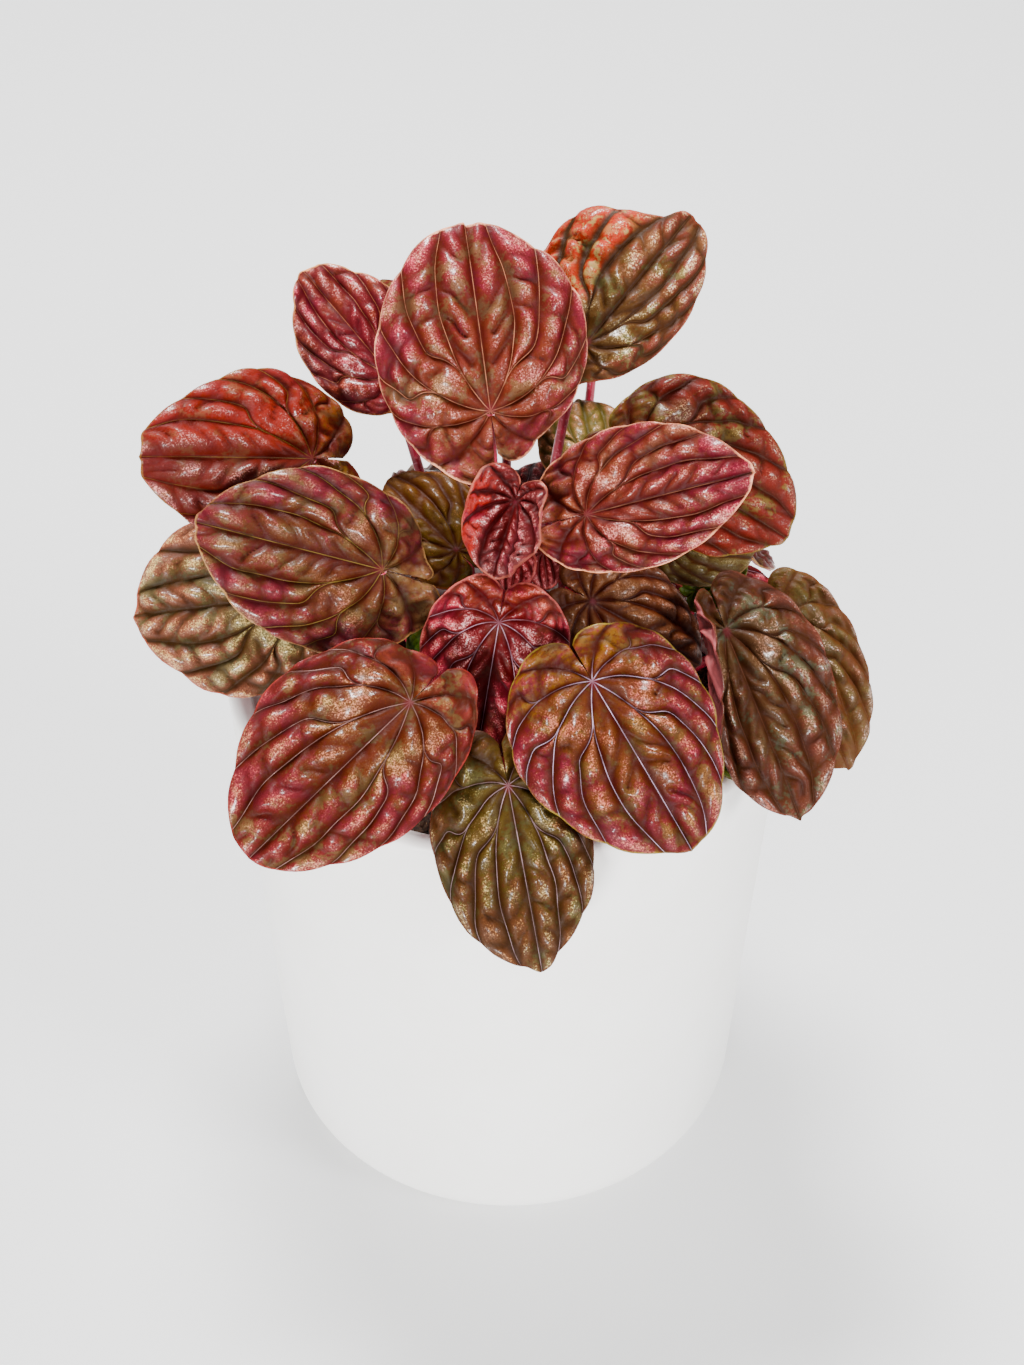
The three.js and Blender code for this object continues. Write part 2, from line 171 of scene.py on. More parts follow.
def leaf_colour(colour: Colour, strength: float = 1.0) -> tuple[float, float, float, float]:
    """The base colour that shows as a display colour under the lights.

    Args:
        colour: the display colour.
        strength: a factor on its brightness.

    Returns:
        Linear RGBA, with the bright channels raised, since the view's tone curve presses them down.
    """
    raised = [c * (1.0 + 1.5 * (c / 0.74) ** 2.5) * strength / LEAF_LIGHT for c in srgb(colour)[:3]]
    return (*(min(c, 0.95) for c in raised), 1.0)


class Value:
    """A number that varies over a surface, for use in Python expressions."""

    def __init__(self, nodes: "Nodes", socket: bpy.types.NodeSocket) -> None:
        """Wraps an output socket of the node tree."""
        self.nodes = nodes
        self.socket = socket

    def _with(self, operation: str, first: object, second: object) -> "Value":
        """A Math node on two operands."""
        return self.nodes.value("ShaderNodeMath", {"operation": operation}, {0: first, 1: second})

    def __add__(self, other: object) -> "Value":
        """self + other"""
        return self._with("ADD", self, other)

    __radd__ = __add__

    def __sub__(self, other: object) -> "Value":
        """self - other"""
        return self._with("SUBTRACT", self, other)

    def __rsub__(self, other: object) -> "Value":
        """other - self"""
        return self._with("SUBTRACT", other, self)

    def __mul__(self, other: object) -> "Value":
        """self * other"""
        return self._with("MULTIPLY", self, other)

    __rmul__ = __mul__


class Nodes:
    """The node tree of one material, with its Principled shader."""

    def __init__(self, name: str, viewport: Colour) -> None:
        """Makes the material and finds its shader."""
        self.material = bpy.data.materials.new(name)
        self.material.use_nodes = True
        self.material.diffuse_color = srgb(viewport)
        self.tree = self.material.node_tree
        self.shader = self.tree.nodes["Principled BSDF"]
        self.place = self.node("ShaderNodeTexCoord").outputs["Object"]

    @staticmethod
    def _find(sockets: object, key: object) -> bpy.types.NodeSocket:
        """A socket by index, identifier or name."""
        if isinstance(key, int):
            return sockets[key]
        for socket in sockets:
            if socket.identifier == key:
                return socket
        return sockets[key]

    def feed(self, socket: bpy.types.NodeSocket, value: object) -> None:
        """Links a Value or socket to an input, or sets the input's own number or colour."""
        if isinstance(value, Value):
            value = value.socket
        if isinstance(value, bpy.types.NodeSocket):
            self.tree.links.new(value, socket)
        else:
            socket.default_value = value

    def node(self, kind: str, settings: dict | None = None, inputs: dict | None = None) -> bpy.types.Node:
        """Adds a node.

        Args:
            kind: the node's type.
            settings: properties that are set first.
            inputs: numbers, colours, Values or sockets by input.

        Returns:
            The new node.
        """
        made = self.tree.nodes.new(kind)
        for key, setting in (settings or {}).items():
            setattr(made, key, setting)
        for key, value in (inputs or {}).items():
            self.feed(self._find(made.inputs, key), value)
        return made

    def value(self, kind: str, settings: dict, inputs: dict, output: object = 0) -> Value:
        """Adds a node and wraps one of its outputs."""
        return Value(self, self._find(self.node(kind, settings, inputs).outputs, output))

    def attribute(self, name: str) -> Value:
        """A number stored on the mesh."""
        return self.value("ShaderNodeAttribute", {"attribute_name": name}, {}, "Fac")

    def noise(self, size: float, detail: float = 2.0, shift: float = 0.0) -> Value:
        """Noise with patches of about a size in millimetres, mostly between 0.3 and 0.7."""
        place = self.place
        if shift:
            moved = self.node("ShaderNodeVectorMath", {"operation": "ADD"}, {0: place, 1: (shift,) * 3})
            place = moved.outputs[0]
        inputs = {"Vector": place, "Scale": 1.0 / (size * MM), "Detail": detail, "Roughness": 0.6}
        return self.value("ShaderNodeTexNoise", {}, inputs, "Fac")

    def step(self, value: Value, low: float, high: float) -> Value:
        """Smooth step of a value from 0 at low to 1 at high."""
        inputs = {"Value": value, "From Min": low, "From Max": high}
        return self.value("ShaderNodeMapRange", {"interpolation_type": "SMOOTHSTEP"}, inputs, "Result")

    def mix(self, share: object, first: object, second: object, blend: str = "MIX") -> Value:
        """A mix of two colours."""
        inputs = {"Factor_Float": share, "A_Color": first, "B_Color": second}
        settings = {"data_type": "RGBA", "blend_type": blend, "clamp_factor": True}
        return self.value("ShaderNodeMix", settings, inputs, "Result_Color")

    def bump(self, height: Value, strength: float, distance: float) -> Value:
        """A bumped normal from a height, with its distance in millimetres."""
        inputs = {"Height": height, "Strength": strength, "Distance": distance * MM}
        return self.value("ShaderNodeBump", {}, inputs, "Normal")

    def finish(self, **sockets: object) -> bpy.types.Material:
        """Feeds the shader's inputs, named with _ for a space, and returns the material."""
        for key, value in sockets.items():
            self.feed(self.shader.inputs[key.replace("_", " ")], value)
        return self.material


# ---------------------------------------------------------------- finishes


@dataclass(frozen=True)
class LeafFinish:
    """Colours of a blade, from the sunken veins up to the sheen on the ridges, with painted shade and
    highlight.

    flank and ridge colour the inner part of the blade, and their _out fields the part by the
    margin. left and right tint one half (on EMBER a painted glow of light through the backlit half),
    blush and moss are the hues of scattered blotches, sheen is how much of the ridges is silvery, partly
    their own pale colour and partly a painted sheen of light, the sixth colour is the painted highlight
    on the ridge tops, and vein_show how plain the pale vein lines are, partly painted glints.
    """

    valley: Colour
    flank: Colour
    flank_out: Colour
    ridge: Colour
    ridge_out: Colour
    # the painted highlight: the pale colour painted where light glints on the ridge tops
    painted_highlight: Colour
    vein: Colour
    margin: Colour
    lobes: Colour
    left: Colour | None = None
    right: Colour | None = None
    tint_from: float = 0.1
    blush: Colour = (150, 34, 58)
    moss: Colour = (170, 136, 66)
    blotchy: float = 0.7
    sheen: float = 0.5
    vein_show: float = 0.8
    under: Colour = (150, 62, 66)

    def tinted(self, n: Nodes, flank: Value, cloud: Value, fleck: Value) -> tuple[Value, Value]:
        """Tints a flank colour.

        Args:
            n: the material's nodes.
            flank: the colour of the flanks.
            cloud: coarse noise.
            fleck: fine noise.

        Returns:
            The colour with tinted halves and lobes, and the tinted half's share.
        """
        whole = Value(n, n.node("ShaderNodeValue").outputs[0])
        whole.socket.default_value = 0.0
        half = n.attribute("half") + (cloud - 0.5) * 0.6
        sides = ((self.left, half), (self.right, half * -1.0))
        # A tinted half is its own colour on most finishes, and on EMBER a painted glow of light shining
        # through the backlit half.
        for colour, share in sides:
            if colour:
                part = n.step(share, self.tint_from, self.tint_from + 0.3)
                flank = n.mix(part * 0.9, flank, leaf_colour(colour))
                whole = whole + part
        along = n.attribute("along") + (cloud - 0.5) * 0.7 + (fleck - 0.5) * 0.3
        return n.mix(n.step(along * -1.0, 0.0, 0.3) * 0.8, flank, leaf_colour(self.lobes)), whole

    def upper(self, name: str) -> bpy.types.Material:
        """The upper face: a waxy skin with grainy silvery ridges between deep coloured grooves, with
        painted shade in the grooves and painted highlights on the ridges.
        """
        n = Nodes(name, self.flank)
        mottle = n.noise(4.5, 3.0)
        cloud = n.noise(9.0, 3.0, 0.3)
        fleck = n.noise(1.0, 3.0)
        grain = n.noise(0.38, 2.0)
        outer = n.step(n.attribute("out") + (cloud - 0.5) * 1.3 + (fleck - 0.5) * 0.6, 0.45, 0.75)
        flank = n.mix(outer, leaf_colour(self.flank), leaf_colour(self.flank_out))
        flank, tint = self.tinted(n, flank, cloud, fleck)
        # The colour follows the crest: darker in the grooves and paler up the ridges, partly the leaf's own
        # colours and partly painted shade and painted light.
        level = n.attribute("crest") + (mottle - 0.5) * 0.5
        colour = n.mix(n.step(level, 0.12, 0.8), leaf_colour(self.valley), flank)
        ridge = n.mix(outer, leaf_colour(self.ridge), leaf_colour(self.ridge_out))
        # Sheen on the ridges: partly their own silvery colour, partly a painted sheen of light.
        start = 1.0 - 0.6 * self.sheen
        sheen_level = level - tint * 0.1 + (fleck - 0.5) * 0.4 + (grain - 0.5) * 1.2
        sheen = n.step(sheen_level, start - 0.05, start + 0.75)
        colour = n.mix(sheen * 0.9, colour, ridge)
        # Painted highlight on the ridge tops, in the sixth colour.
        painted_glint = n.step(sheen_level + (grain - 0.5) * 0.3, start + 0.22, start + 0.82)
        colour = n.mix(painted_glint * 0.9, colour, leaf_colour(self.painted_highlight))
        blotch = n.noise(7.0, 3.0, 0.5) + (fleck - 0.5) * 0.35
        blushed = n.step(blotch, 0.5, 0.62) * (0.3 + 0.7 * outer)
        blotches = ((self.blush, blushed), (self.moss, 1.0 - n.step(blotch, 0.36, 0.46)))
        for hue, share in blotches:
            colour = n.mix(share * self.blotchy, colour, leaf_colour(hue), "COLOR")
        specks = n.step(n.noise(0.7, 2.0, 0.7), 0.56, 0.66) * n.step(level, 0.2, 0.5)
        colour = n.mix(specks * 0.5, colour, leaf_colour(self.valley))
        vein = n.attribute("vein")
        # Painted shade along the sunken veins: the colour darkens towards the valley colour beside each
        # vein.
        edge = 1.0 - n.step(vein, 0.15, 0.55)
        colour = n.mix(edge * 0.5, colour, leaf_colour(self.valley, 0.7))
        # Pale lines along the veins: their own paler colour, and where the vein colour is near white partly
        # painted glints.
        broken = 0.4 + 0.6 * n.step(n.noise(7.0, 2.0, 0.9), 0.42, 0.58)
        broken = broken * n.step(n.attribute("along"), -0.12, 0.06)
        line = 1.0 - n.step(vein - n.attribute("vein_width"), 0.0, 0.1)
        colour = n.mix(line * broken * self.vein_show, colour, leaf_colour(self.vein))
        rim = 1.0 - n.step(n.attribute("margin") + (fleck - 0.5) * 1.2, 0.1, 0.7)
        rim = rim * (0.25 + 0.65 * n.step(n.noise(11.0, 2.0, 0.2), 0.42, 0.6))
        colour = n.mix(rim, colour, leaf_colour(self.margin))
        heart = 1.0 - n.step(n.attribute("out"), 0.015, 0.06)
        colour = n.mix(heart * 0.6, colour, leaf_colour((134, 36, 56)))
        rough = 0.46 - sheen * 0.12 + (fleck - 0.5) * 0.3
        relief = n.bump(fleck * 0.6 + grain * 0.4, 0.5, 0.35)
        return n.finish(Base_Color=colour, Roughness=rough, Normal=relief, Specular_IOR_Level=0.08,
                        Coat_Weight=sheen, Coat_Roughness=0.21)

    def lower(self, name: str) -> bpy.types.Material:
        """The underside: smooth, one colour, with paler raised veins."""
        n = Nodes(name, self.under)
        mottle = n.noise(6.0, 3.0)
        shade = srgb(tuple(int(c * 0.72) for c in self.under))
        colour = n.mix(n.step(mottle, 0.35, 0.65), shade, srgb(self.under))
        line = 1.0 - n.step(n.attribute("vein"), 0.3, 1.0)
        pale = srgb(tuple(min(255, int(c * 1.25) + 12) for c in self.under))
        colour = n.mix(line * 0.7, colour, pale)
        relief = n.bump(n.noise(0.8, 2.0), 0.3, 0.2)
        return n.finish(Base_Color=colour, Roughness=0.5, Normal=relief)


class Finish(Enum):
    """The finishes of the leaves, by their look."""

    ROSE = LeafFinish((108, 32, 14), (146, 62, 34), (148, 44, 48), (186, 122, 110), (200, 112, 118),
                      (248, 200, 186), (206, 160, 128), (240, 204, 178), (160, 104, 64),
                      blush=(152, 36, 62), moss=(176, 142, 95), sheen=0.6, vein_show=0.85)
    # EMBER's left tint is a painted glow of light shining through the backlit left half.
    EMBER = LeafFinish((88, 46, 14), (124, 84, 34), (148, 70, 50), (166, 146, 96), (196, 130, 116),
                       (244, 228, 200), (150, 110, 60), (200, 124, 90), (140, 84, 40),
                       left=(206, 66, 22), tint_from=0.3, blush=(132, 96, 54), moss=(120, 118, 66),
                       blotchy=0.6, sheen=0.65, vein_show=0.3)
    MAGENTA = LeafFinish((118, 18, 28), (146, 40, 46), (152, 60, 58), (192, 102, 112), (204, 134, 120),
                         (255, 206, 202), (196, 142, 96), (236, 200, 150), (166, 70, 66),
                         blush=(166, 30, 70), moss=(190, 92, 54), sheen=0.7, vein_show=0.7)
    SCARLET = LeafFinish((122, 28, 12), (136, 50, 38), (132, 56, 48), (156, 104, 94), (162, 114, 108),
                         (240, 196, 188), (168, 140, 56), (176, 130, 60), (160, 130, 30),
                         right=(170, 42, 20), tint_from=0.05, blush=(146, 44, 50), moss=(146, 100, 66),
                         blotchy=0.5, sheen=0.65, vein_show=0.6)
    RUST = LeafFinish((94, 30, 12), (124, 68, 34), (138, 54, 46), (158, 112, 76), (166, 106, 92),
                      (216, 172, 140), (166, 142, 66), (206, 176, 120), (156, 116, 66),
                      blush=(152, 32, 64), moss=(176, 146, 92), sheen=0.55, vein_show=0.9)
    SAGE = LeafFinish((94, 58, 20), (132, 106, 62), (154, 98, 72), (184, 168, 122), (200, 148, 118),
                      (236, 224, 172), (112, 80, 46), (206, 130, 100), (140, 104, 56),
                      blush=(160, 100, 70), moss=(150, 140, 95), sheen=0.7, vein_show=0.4)
    COPPER = LeafFinish((98, 32, 8), (126, 58, 22), (140, 42, 40), (168, 138, 88), (184, 108, 98),
                        (236, 196, 164), (220, 196, 192), (184, 70, 60), (172, 74, 60),
                        blush=(150, 40, 58), moss=(160, 132, 77), sheen=0.6, vein_show=0.5)
    OLIVE = LeafFinish((78, 44, 6), (106, 82, 26), (116, 70, 34), (142, 126, 72), (154, 120, 80),
                       (234, 220, 178), (214, 196, 200), (130, 62, 34), (112, 82, 26),
                       blush=(126, 72, 36), moss=(130, 122, 65), sheen=0.55, vein_show=0.5)
    GARNET = LeafFinish((94, 28, 8), (128, 66, 22), (138, 38, 40), (172, 112, 74), (176, 96, 88),
                        (234, 182, 154), (224, 210, 222), (178, 160, 60), (172, 130, 20),
                        blush=(158, 32, 66), moss=(172, 136, 65), sheen=0.6, vein_show=0.72)
    # CRIMSON's outer colours are lightened: painted light on the heart leaf's outer part, which sits in
    # shade between the front leaves.
    CRIMSON = LeafFinish((112, 6, 10), (134, 20, 26), (176, 52, 66), (186, 92, 96), (236, 146, 150),
                         (255, 210, 208), (230, 210, 220), (206, 130, 120), (166, 74, 34),
                         blush=(156, 24, 60), moss=(164, 86, 62), blotchy=0.6, sheen=0.74, vein_show=0.4)
    # BUD is lighter than the buds' own crimson: painted light for buds that sit in shade.
    BUD = LeafFinish((140, 16, 22), (176, 60, 66), (190, 96, 100), (220, 140, 146), (226, 150, 154),
                     (250, 206, 206), (214, 160, 160), (220, 140, 130), (190, 86, 80), blotchy=0.0,
                     sheen=0.75, vein_show=0.2)
    WINE = LeafFinish((96, 12, 14), (128, 24, 26), (138, 54, 56), (164, 90, 96), (186, 120, 120),
                      (250, 196, 190), (150, 90, 70), (206, 140, 116), (134, 34, 32), right=(190, 36, 14),
                      tint_from=0.7, blush=(160, 34, 66), moss=(160, 60, 62), blotchy=0.6, sheen=0.65,
                      vein_show=0.0)
    PINK = LeafFinish((102, 20, 12), (144, 62, 38), (146, 38, 54), (192, 116, 100), (198, 108, 118),
                      (255, 206, 192), (180, 130, 96), (236, 196, 164), (176, 108, 60),
                      left=(146, 66, 40), tint_from=0.3, blush=(168, 34, 72), moss=(168, 108, 74),
                      sheen=0.7, vein_show=0.75)
    RUSSET = LeafFinish((102, 36, 16), (132, 62, 34), (146, 46, 32), (148, 112, 88), (156, 104, 90),
                        (230, 206, 172), (130, 96, 50), (160, 136, 56), (136, 96, 30),
                        blush=(160, 44, 30), moss=(140, 124, 62), sheen=0.5, vein_show=0.4)
    COCOA = LeafFinish((92, 28, 6), (130, 76, 38), (134, 72, 36), (164, 130, 92), (166, 116, 82),
                       (214, 172, 144), (90, 40, 40), (156, 76, 54), (124, 70, 32), blotchy=0.0, sheen=0.6,
                       vein_show=0.3)
    BRONZE = LeafFinish((84, 42, 12), (110, 76, 42), (120, 60, 38), (144, 114, 82), (154, 106, 84),
                        (214, 186, 164), (140, 84, 60), (150, 76, 56), (110, 82, 36),
                        blush=(136, 70, 54), moss=(104, 106, 77), sheen=0.62, vein_show=0.45,
                        under=(142, 62, 64))
    # MOSS is lightened and more saturated; the lightening is painted light for a leaf that sits in shade.
    MOSS = LeafFinish((104, 46, 4), (126, 88, 12), (132, 84, 18), (160, 126, 46), (164, 118, 58),
                      (220, 172, 110), (116, 68, 38), (176, 106, 52), (112, 96, 14), blotchy=0.0,
                      sheen=0.45, vein_show=0.3)
    PALE = LeafFinish((120, 104, 34), (150, 134, 66), (164, 124, 76), (204, 170, 122), (212, 162, 126),
                      (255, 220, 194), (140, 110, 60), (200, 160, 106), (120, 130, 56),
                      blotchy=0.0, sheen=0.6, vein_show=0.3, under=(150, 130, 90))
    LIME = LeafFinish((86, 112, 14), (122, 146, 30), (130, 140, 36), (150, 168, 62), (156, 160, 70),
                      (196, 206, 120), (140, 150, 60), (160, 150, 60), (120, 140, 30),
                      blotchy=0.0, sheen=0.35, vein_show=0.3, under=(150, 150, 80))
    KHAKI = LeafFinish((96, 50, 10), (116, 92, 40), (126, 104, 50), (152, 144, 96), (160, 146, 104),
                       (214, 200, 156), (120, 90, 50), (170, 140, 90), (110, 100, 34),
                       blotchy=0.0, sheen=0.55, vein_show=0.3)
    UMBER = LeafFinish((122, 74, 30), (124, 100, 56), (132, 98, 60), (160, 142, 114), (166, 138, 118),
                       (236, 216, 200), (140, 84, 60), (156, 96, 50), (126, 104, 30),
                       blush=(140, 74, 46), moss=(132, 114, 62), blotchy=0.6, sheen=0.55, vein_show=0.45,
                       under=(158, 70, 72))
    GREEN = LeafFinish((56, 84, 10), (96, 126, 20), (106, 120, 26), (124, 148, 50), (130, 140, 56),
                       (166, 166, 100), (110, 100, 50), (120, 90, 50), (80, 90, 20),
                       blotchy=0.0, sheen=0.35, vein_show=0.3, under=(120, 110, 60))


@dataclass(frozen=True)
class StalkFinish:
    """The fleshy stalk: deep crimson with pale flecks."""

    # flesh is lightened: partly painted light for stalks that stand in shade under the leaves.
    flesh: Colour = (172, 24, 58)
    shade: Colour = (126, 16, 36)
    fleck: Colour = (190, 96, 110)

    def material(self) -> bpy.types.Material:
        """Builds the stalk's material."""
        n = Nodes("stalk_crimson", self.flesh)
        colour = n.mix(n.step(n.noise(6.0, 2.0), 0.35, 0.65), srgb(self.shade), srgb(self.flesh))
        colour = n.mix(n.step(n.noise(0.8, 1.0), 0.6, 0.7) * 0.5, colour, srgb(self.fleck))
        relief = n.bump(n.noise(0.9, 2.0), 0.25, 0.2)
        return n.finish(Base_Color=colour, Roughness=0.36, Normal=relief, Coat_Weight=0.15,
                        Coat_Roughness=0.2)


@dataclass(frozen=True)
class GlazeFinish:
    """The pot's satin white glaze."""

    white: Colour = (253, 252, 249)
    shade: Colour = (250, 248, 244)

    def material(self) -> bpy.types.Material:
        """Builds the glaze: nearly even, with a faint orange-peel surface."""
        n = Nodes("pot_white_glaze", self.white)
        colour = n.mix(n.step(n.noise(30.0, 3.0), 0.3, 0.7), srgb(self.shade), srgb(self.white))
        rough = 0.34 + n.noise(12.0, 3.0) * 0.12
        relief = n.bump(n.noise(2.4, 3.0), 0.12, 0.3)
        return n.finish(Base_Color=colour, Roughness=rough, Normal=relief, Coat_Weight=0.1,
                        Coat_Roughness=0.25)


@dataclass(frozen=True)
class SoilFinish:
    """Dark potting mix of bark, peat and coir."""

    dark: Colour = (34, 24, 18)
    brown: Colour = (84, 58, 40)
    straw: Colour = (146, 116, 82)

    def material(self) -> bpy.types.Material:
        """Builds the mix's material."""
        n = Nodes("potting_mix", self.dark)
        colour = n.mix(n.step(n.noise(3.0, 4.0), 0.4, 0.65), srgb(self.dark), srgb(self.brown))
        colour = n.mix(n.step(n.noise(1.6, 2.0, 0.4), 0.63, 0.7), colour, srgb(self.straw))
        relief = n.bump(n.noise(1.2, 4.0), 0.8, 0.8)
        return n.finish(Base_Color=colour, Roughness=0.9, Normal=relief)


# ---------------------------------------------------------------- pieces


def build_mesh(name: str, points: np.ndarray, faces: list) -> bpy.types.Mesh:
    """A smooth-shaded mesh from points in millimetres and faces."""
    mesh = bpy.data.meshes.new(name)
    mesh.from_pydata((points * MM).tolist(), [], faces)
    mesh.polygons.foreach_set("use_smooth", [True] * len(mesh.polygons))
    mesh.update()
    return mesh


def place(name: str, mesh: bpy.types.Mesh, node: str | None, slot: str) -> bpy.types.Object:
    """Adds a finished piece to the scene under the root body, and hides the frame's node that it stands
    for.

    Args:
        name: the piece's name.
        mesh: its mesh, in place.
        node: the frame's node that it stands for, if any.
        slot: not used.

    Returns:
        The piece.
    """
    piece = bpy.data.objects.new(name, mesh)
    bpy.context.scene.collection.objects.link(piece)
    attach(piece, "root")
    if node:
        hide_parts(node)
    mesh.calc_loop_triangles()
    log.info("%s: %d triangles", name, len(mesh.loop_triangles))
    return piece


@dataclass(frozen=True)
class Fold:
    """A bend of the flat blade about a line: the side to the line's left turns up."""

    direction: float
    angle: float
    spread: float
    through: Pair = (0.0, 0.0)

    def bend(self, points: np.ndarray) -> np.ndarray:
        """Bends (n, 3) points.

        Args:
            points: points of the flat blade.

        Returns:
            The bent points.
        """
        if self.angle == 0.0:
            return points
        a = math.radians(self.direction)
        along = np.array([math.cos(a), math.sin(a)])
        x = points[:, 0] - self.through[0]
        y = points[:, 1] - self.through[1]
        side = y * along[0] - x * along[1]
        run = x * along[0] + y * along[1]
        curvature = math.radians(self.angle) / self.spread
        turn = curvature * np.clip(side, 0.0, self.spread)
        straight = np.maximum(side - self.spread, 0.0)
        z = points[:, 2]
        level = np.sin(turn) / curvature + straight * np.cos(turn) - z * np.sin(turn)
        rise = (1.0 - np.cos(turn)) / curvature + straight * np.sin(turn) + z * np.cos(turn)
        bent = np.stack([
            self.through[0] + run * along[0] - level * along[1],
            self.through[1] + run * along[1] + level * along[0],
            rise,
        ], axis=1)
        return np.where((side > 0.0)[:, None], bent, points)


@dataclass(frozen=True)
class LeafForm:
    """Sizes and pose of one leaf.

    at is the junction of stalk and blade, root where the stalk enters the soil. heading is the
    midrib's direction from +X towards +Y, pitch how far the tip points up, and roll the turn about
    the midrib, left half up. half holds the width factors of the left and right half, cup how far
    each half bends up, and droop how far the tip bends down. A bulge widens the outline near a vein:
    the vein's number, minus on the right half, the bulge's width in veins and its share of the reach.
    """

    name: str
    slot: str
    finish: Finish
    length: float
    at: Triple
    root: Pair
    heading: float
    pitch: float
    roll: float = 0.0
    half: Pair = (0.8, 0.8)
    cup: Pair = (-12.0, -12.0)
    droop: float = 10.0
    folds: tuple[Fold, ...] = ()
    arrive: Triple = (0.35, 0.6, 0.6)
    lean: float = 0.35
    ruffle: float = 0.5
    relief: float = 1.35
    pucker: float = 0.25
    grid: float = 1.0
    bulges: tuple[Triple, ...] = ()


@dataclass
class Blade:
    """The quilted blade of a leaf, worked out on a fan of lines from the junction to the margin."""

    form: LeafForm
    seed: int
    columns: int = field(init=False)
    rows: int = field(init=False)

    def __post_init__(self) -> None:
        """Sets the fan's fineness and the random draws of this blade."""
        form = self.form
        self.rows = max(14, round(form.length / (0.7 * form.grid)))
        self.columns = max(16, 2 * round(form.length * 0.85 / form.grid))
        rng = np.random.default_rng(self.seed)
        self.branch_starts = {
            1: rng.uniform(0.2, 0.3),
            2: rng.uniform(0.34, 0.46),
            3: rng.uniform(0.46, 0.6),
        }
        self.branch_starts_right = {k: v + rng.uniform(-0.05, 0.05) for k, v in self.branch_starts.items()}
        self.sway = Swell(rng, 26.0)
        self.edge = Swell(rng, 9.0)
        self.swelling = Swell(rng, 9.0)
        self.pucker = Swell(rng, 3.2)
        self.hammer = Swell(rng, 1.6)
        self.ruffles = Swell(rng, 13.0)
        self.kinks = Swell(rng, 8.0)
        self.warp = Swell(rng, 7.0)
        self.cross_draws = rng.uniform(0.0, 1.0, 128)

    def starts(self, side: float) -> dict[int, float]:
        """Where the branch veins leave their main veins, on the left (1) or right (-1) half."""
        return self.branch_starts if side > 0 else self.branch_starts_right

    def vein_number(self, column: np.ndarray, out: np.ndarray, side: float) -> np.ndarray:
        """Vein number of a column: columns at 1.5, 2.5 and 3.5 follow the branch veins.

        Args:
            column: column numbers from 0 at the midrib to 5 at the notch.
            out: share of the way to the margin.
            side: 1 for the left half, -1 for the right.

        Returns:
            The vein numbers.
        """
        number = column.copy()
        for main, start in self.starts(side).items():
            spread = np.maximum(smooth(out, start, start + 0.34), 0.05)
            inner = (column > main) & (column <= main + 0.5)
            outer = (column > main + 0.5) & (column < main + 1)
            number = np.where(inner, main + (column - main) * spread, number)
            rest = (1.0 - 0.5 * spread) / 0.5
            number = np.where(outer, main + 1 - (main + 1 - column) * rest, number)
        return number

    def flat(self, number: np.ndarray, out: np.ndarray, side: float) -> tuple[np.ndarray, np.ndarray]:
        """Flat coordinates of points of one half.

        Args:
            number: vein numbers, 0 at the midrib to 5 at the notch.
            out: share of the way to the margin.
            side: 1 for the left half, -1 for the right.

        Returns:
            x along the midrib and y to the left, in millimetres.
        """
        form = self.form
        veins = np.arange(LAST_VEIN + 1)
        leaves = np.interp(number, veins, VEIN_LEAVES_AT)
        ends = np.interp(number, veins, VEIN_ENDS_AT)
        direction = leaves + (ends - leaves) * out
        inner = np.minimum(number, LAST_VEIN - number) * 3.0
        bends = 2.6 * self.sway.at(number * 6.0 * side, out * 20.0)
        bends += 0.9 * smooth(out, 0.1, 0.4) * self.kinks.at(number * 6.0 * side, out * 30.0)
        direction = direction + np.clip(inner, 0, 1) * bends
        reach = curve_through(OUTLINE_AT, OUTLINE_REACH, ends)
        scallop = 1.0 + 0.017 * self.edge.at(number * 8.0 * side, 0.0 * out)
        for vein in (1.5, 2.0, 2.5, 3.0, 3.5, 4.0):
            scallop -= VEIN_DENT * np.exp(-(((number - vein) / 0.13) ** 2))
        for vein, width, share in form.bulges:
            scallop += share * np.exp(-(((number * side - vein) / width) ** 2))
        distance = out * reach * form.length * scallop
        half = form.half[0] if side > 0 else form.half[1]
        angle = np.radians(direction)
        return distance * np.cos(angle), side * half * distance * np.sin(angle)

    def vein_lines(self, side: float) -> tuple[list, list, list]:
        """Flat polylines of the main, branch and cross veins of one half, the last with their depths."""
        share = np.linspace(0.0, 1.0, 22)
        main = [self.line(np.full(22, float(k)), share, side) for k in range(LAST_VEIN)]
        branch = []
        for k, start in self.starts(side).items():
            if self.form.length < 20.0:
                break
            out = start + (1.0 - start) * share
            number = k + 0.5 * np.maximum(smooth(out, start, start + 0.34), 0.03)
            branch.append(self.line(number, out, side))
        cross = []
        draws = iter(self.cross_draws)
        plan = ((0.0, 1.0, 0.26, 0.14), (1.0, 1.5, 0.12, 0.55), (1.5, 2.0, 0.16, 0.38),
                (2.0, 2.5, 0.12, 0.6), (2.5, 3.0, 0.16, 0.4), (3.0, 4.0, 0.22, 0.3), (4.0, 4.9, 0.25, 0.3))
        for low, high, rise, first in plan:
            start = first
            while start < 0.95:
                draw, reach = next(draws, 0.5), next(draws, 0.5)
                across = share * 0.6 + (0.0, 0.4)[reach > 0.6] if reach > 0.3 else share
                out = np.minimum(start + 0.1 * (draw - 0.5) + rise * across**1.3, 1.0)
                cross.append((self.line(low + (high - low) * across, out, side), 0.42 + 0.48 * draw))
                start += 0.145
        return main, branch, cross

    def line(self, number: np.ndarray, out: np.ndarray, side: float) -> np.ndarray:
        """A polyline of the flat blade through vein numbers and shares."""
        return np.stack(self.flat(number, out, side), axis=1)

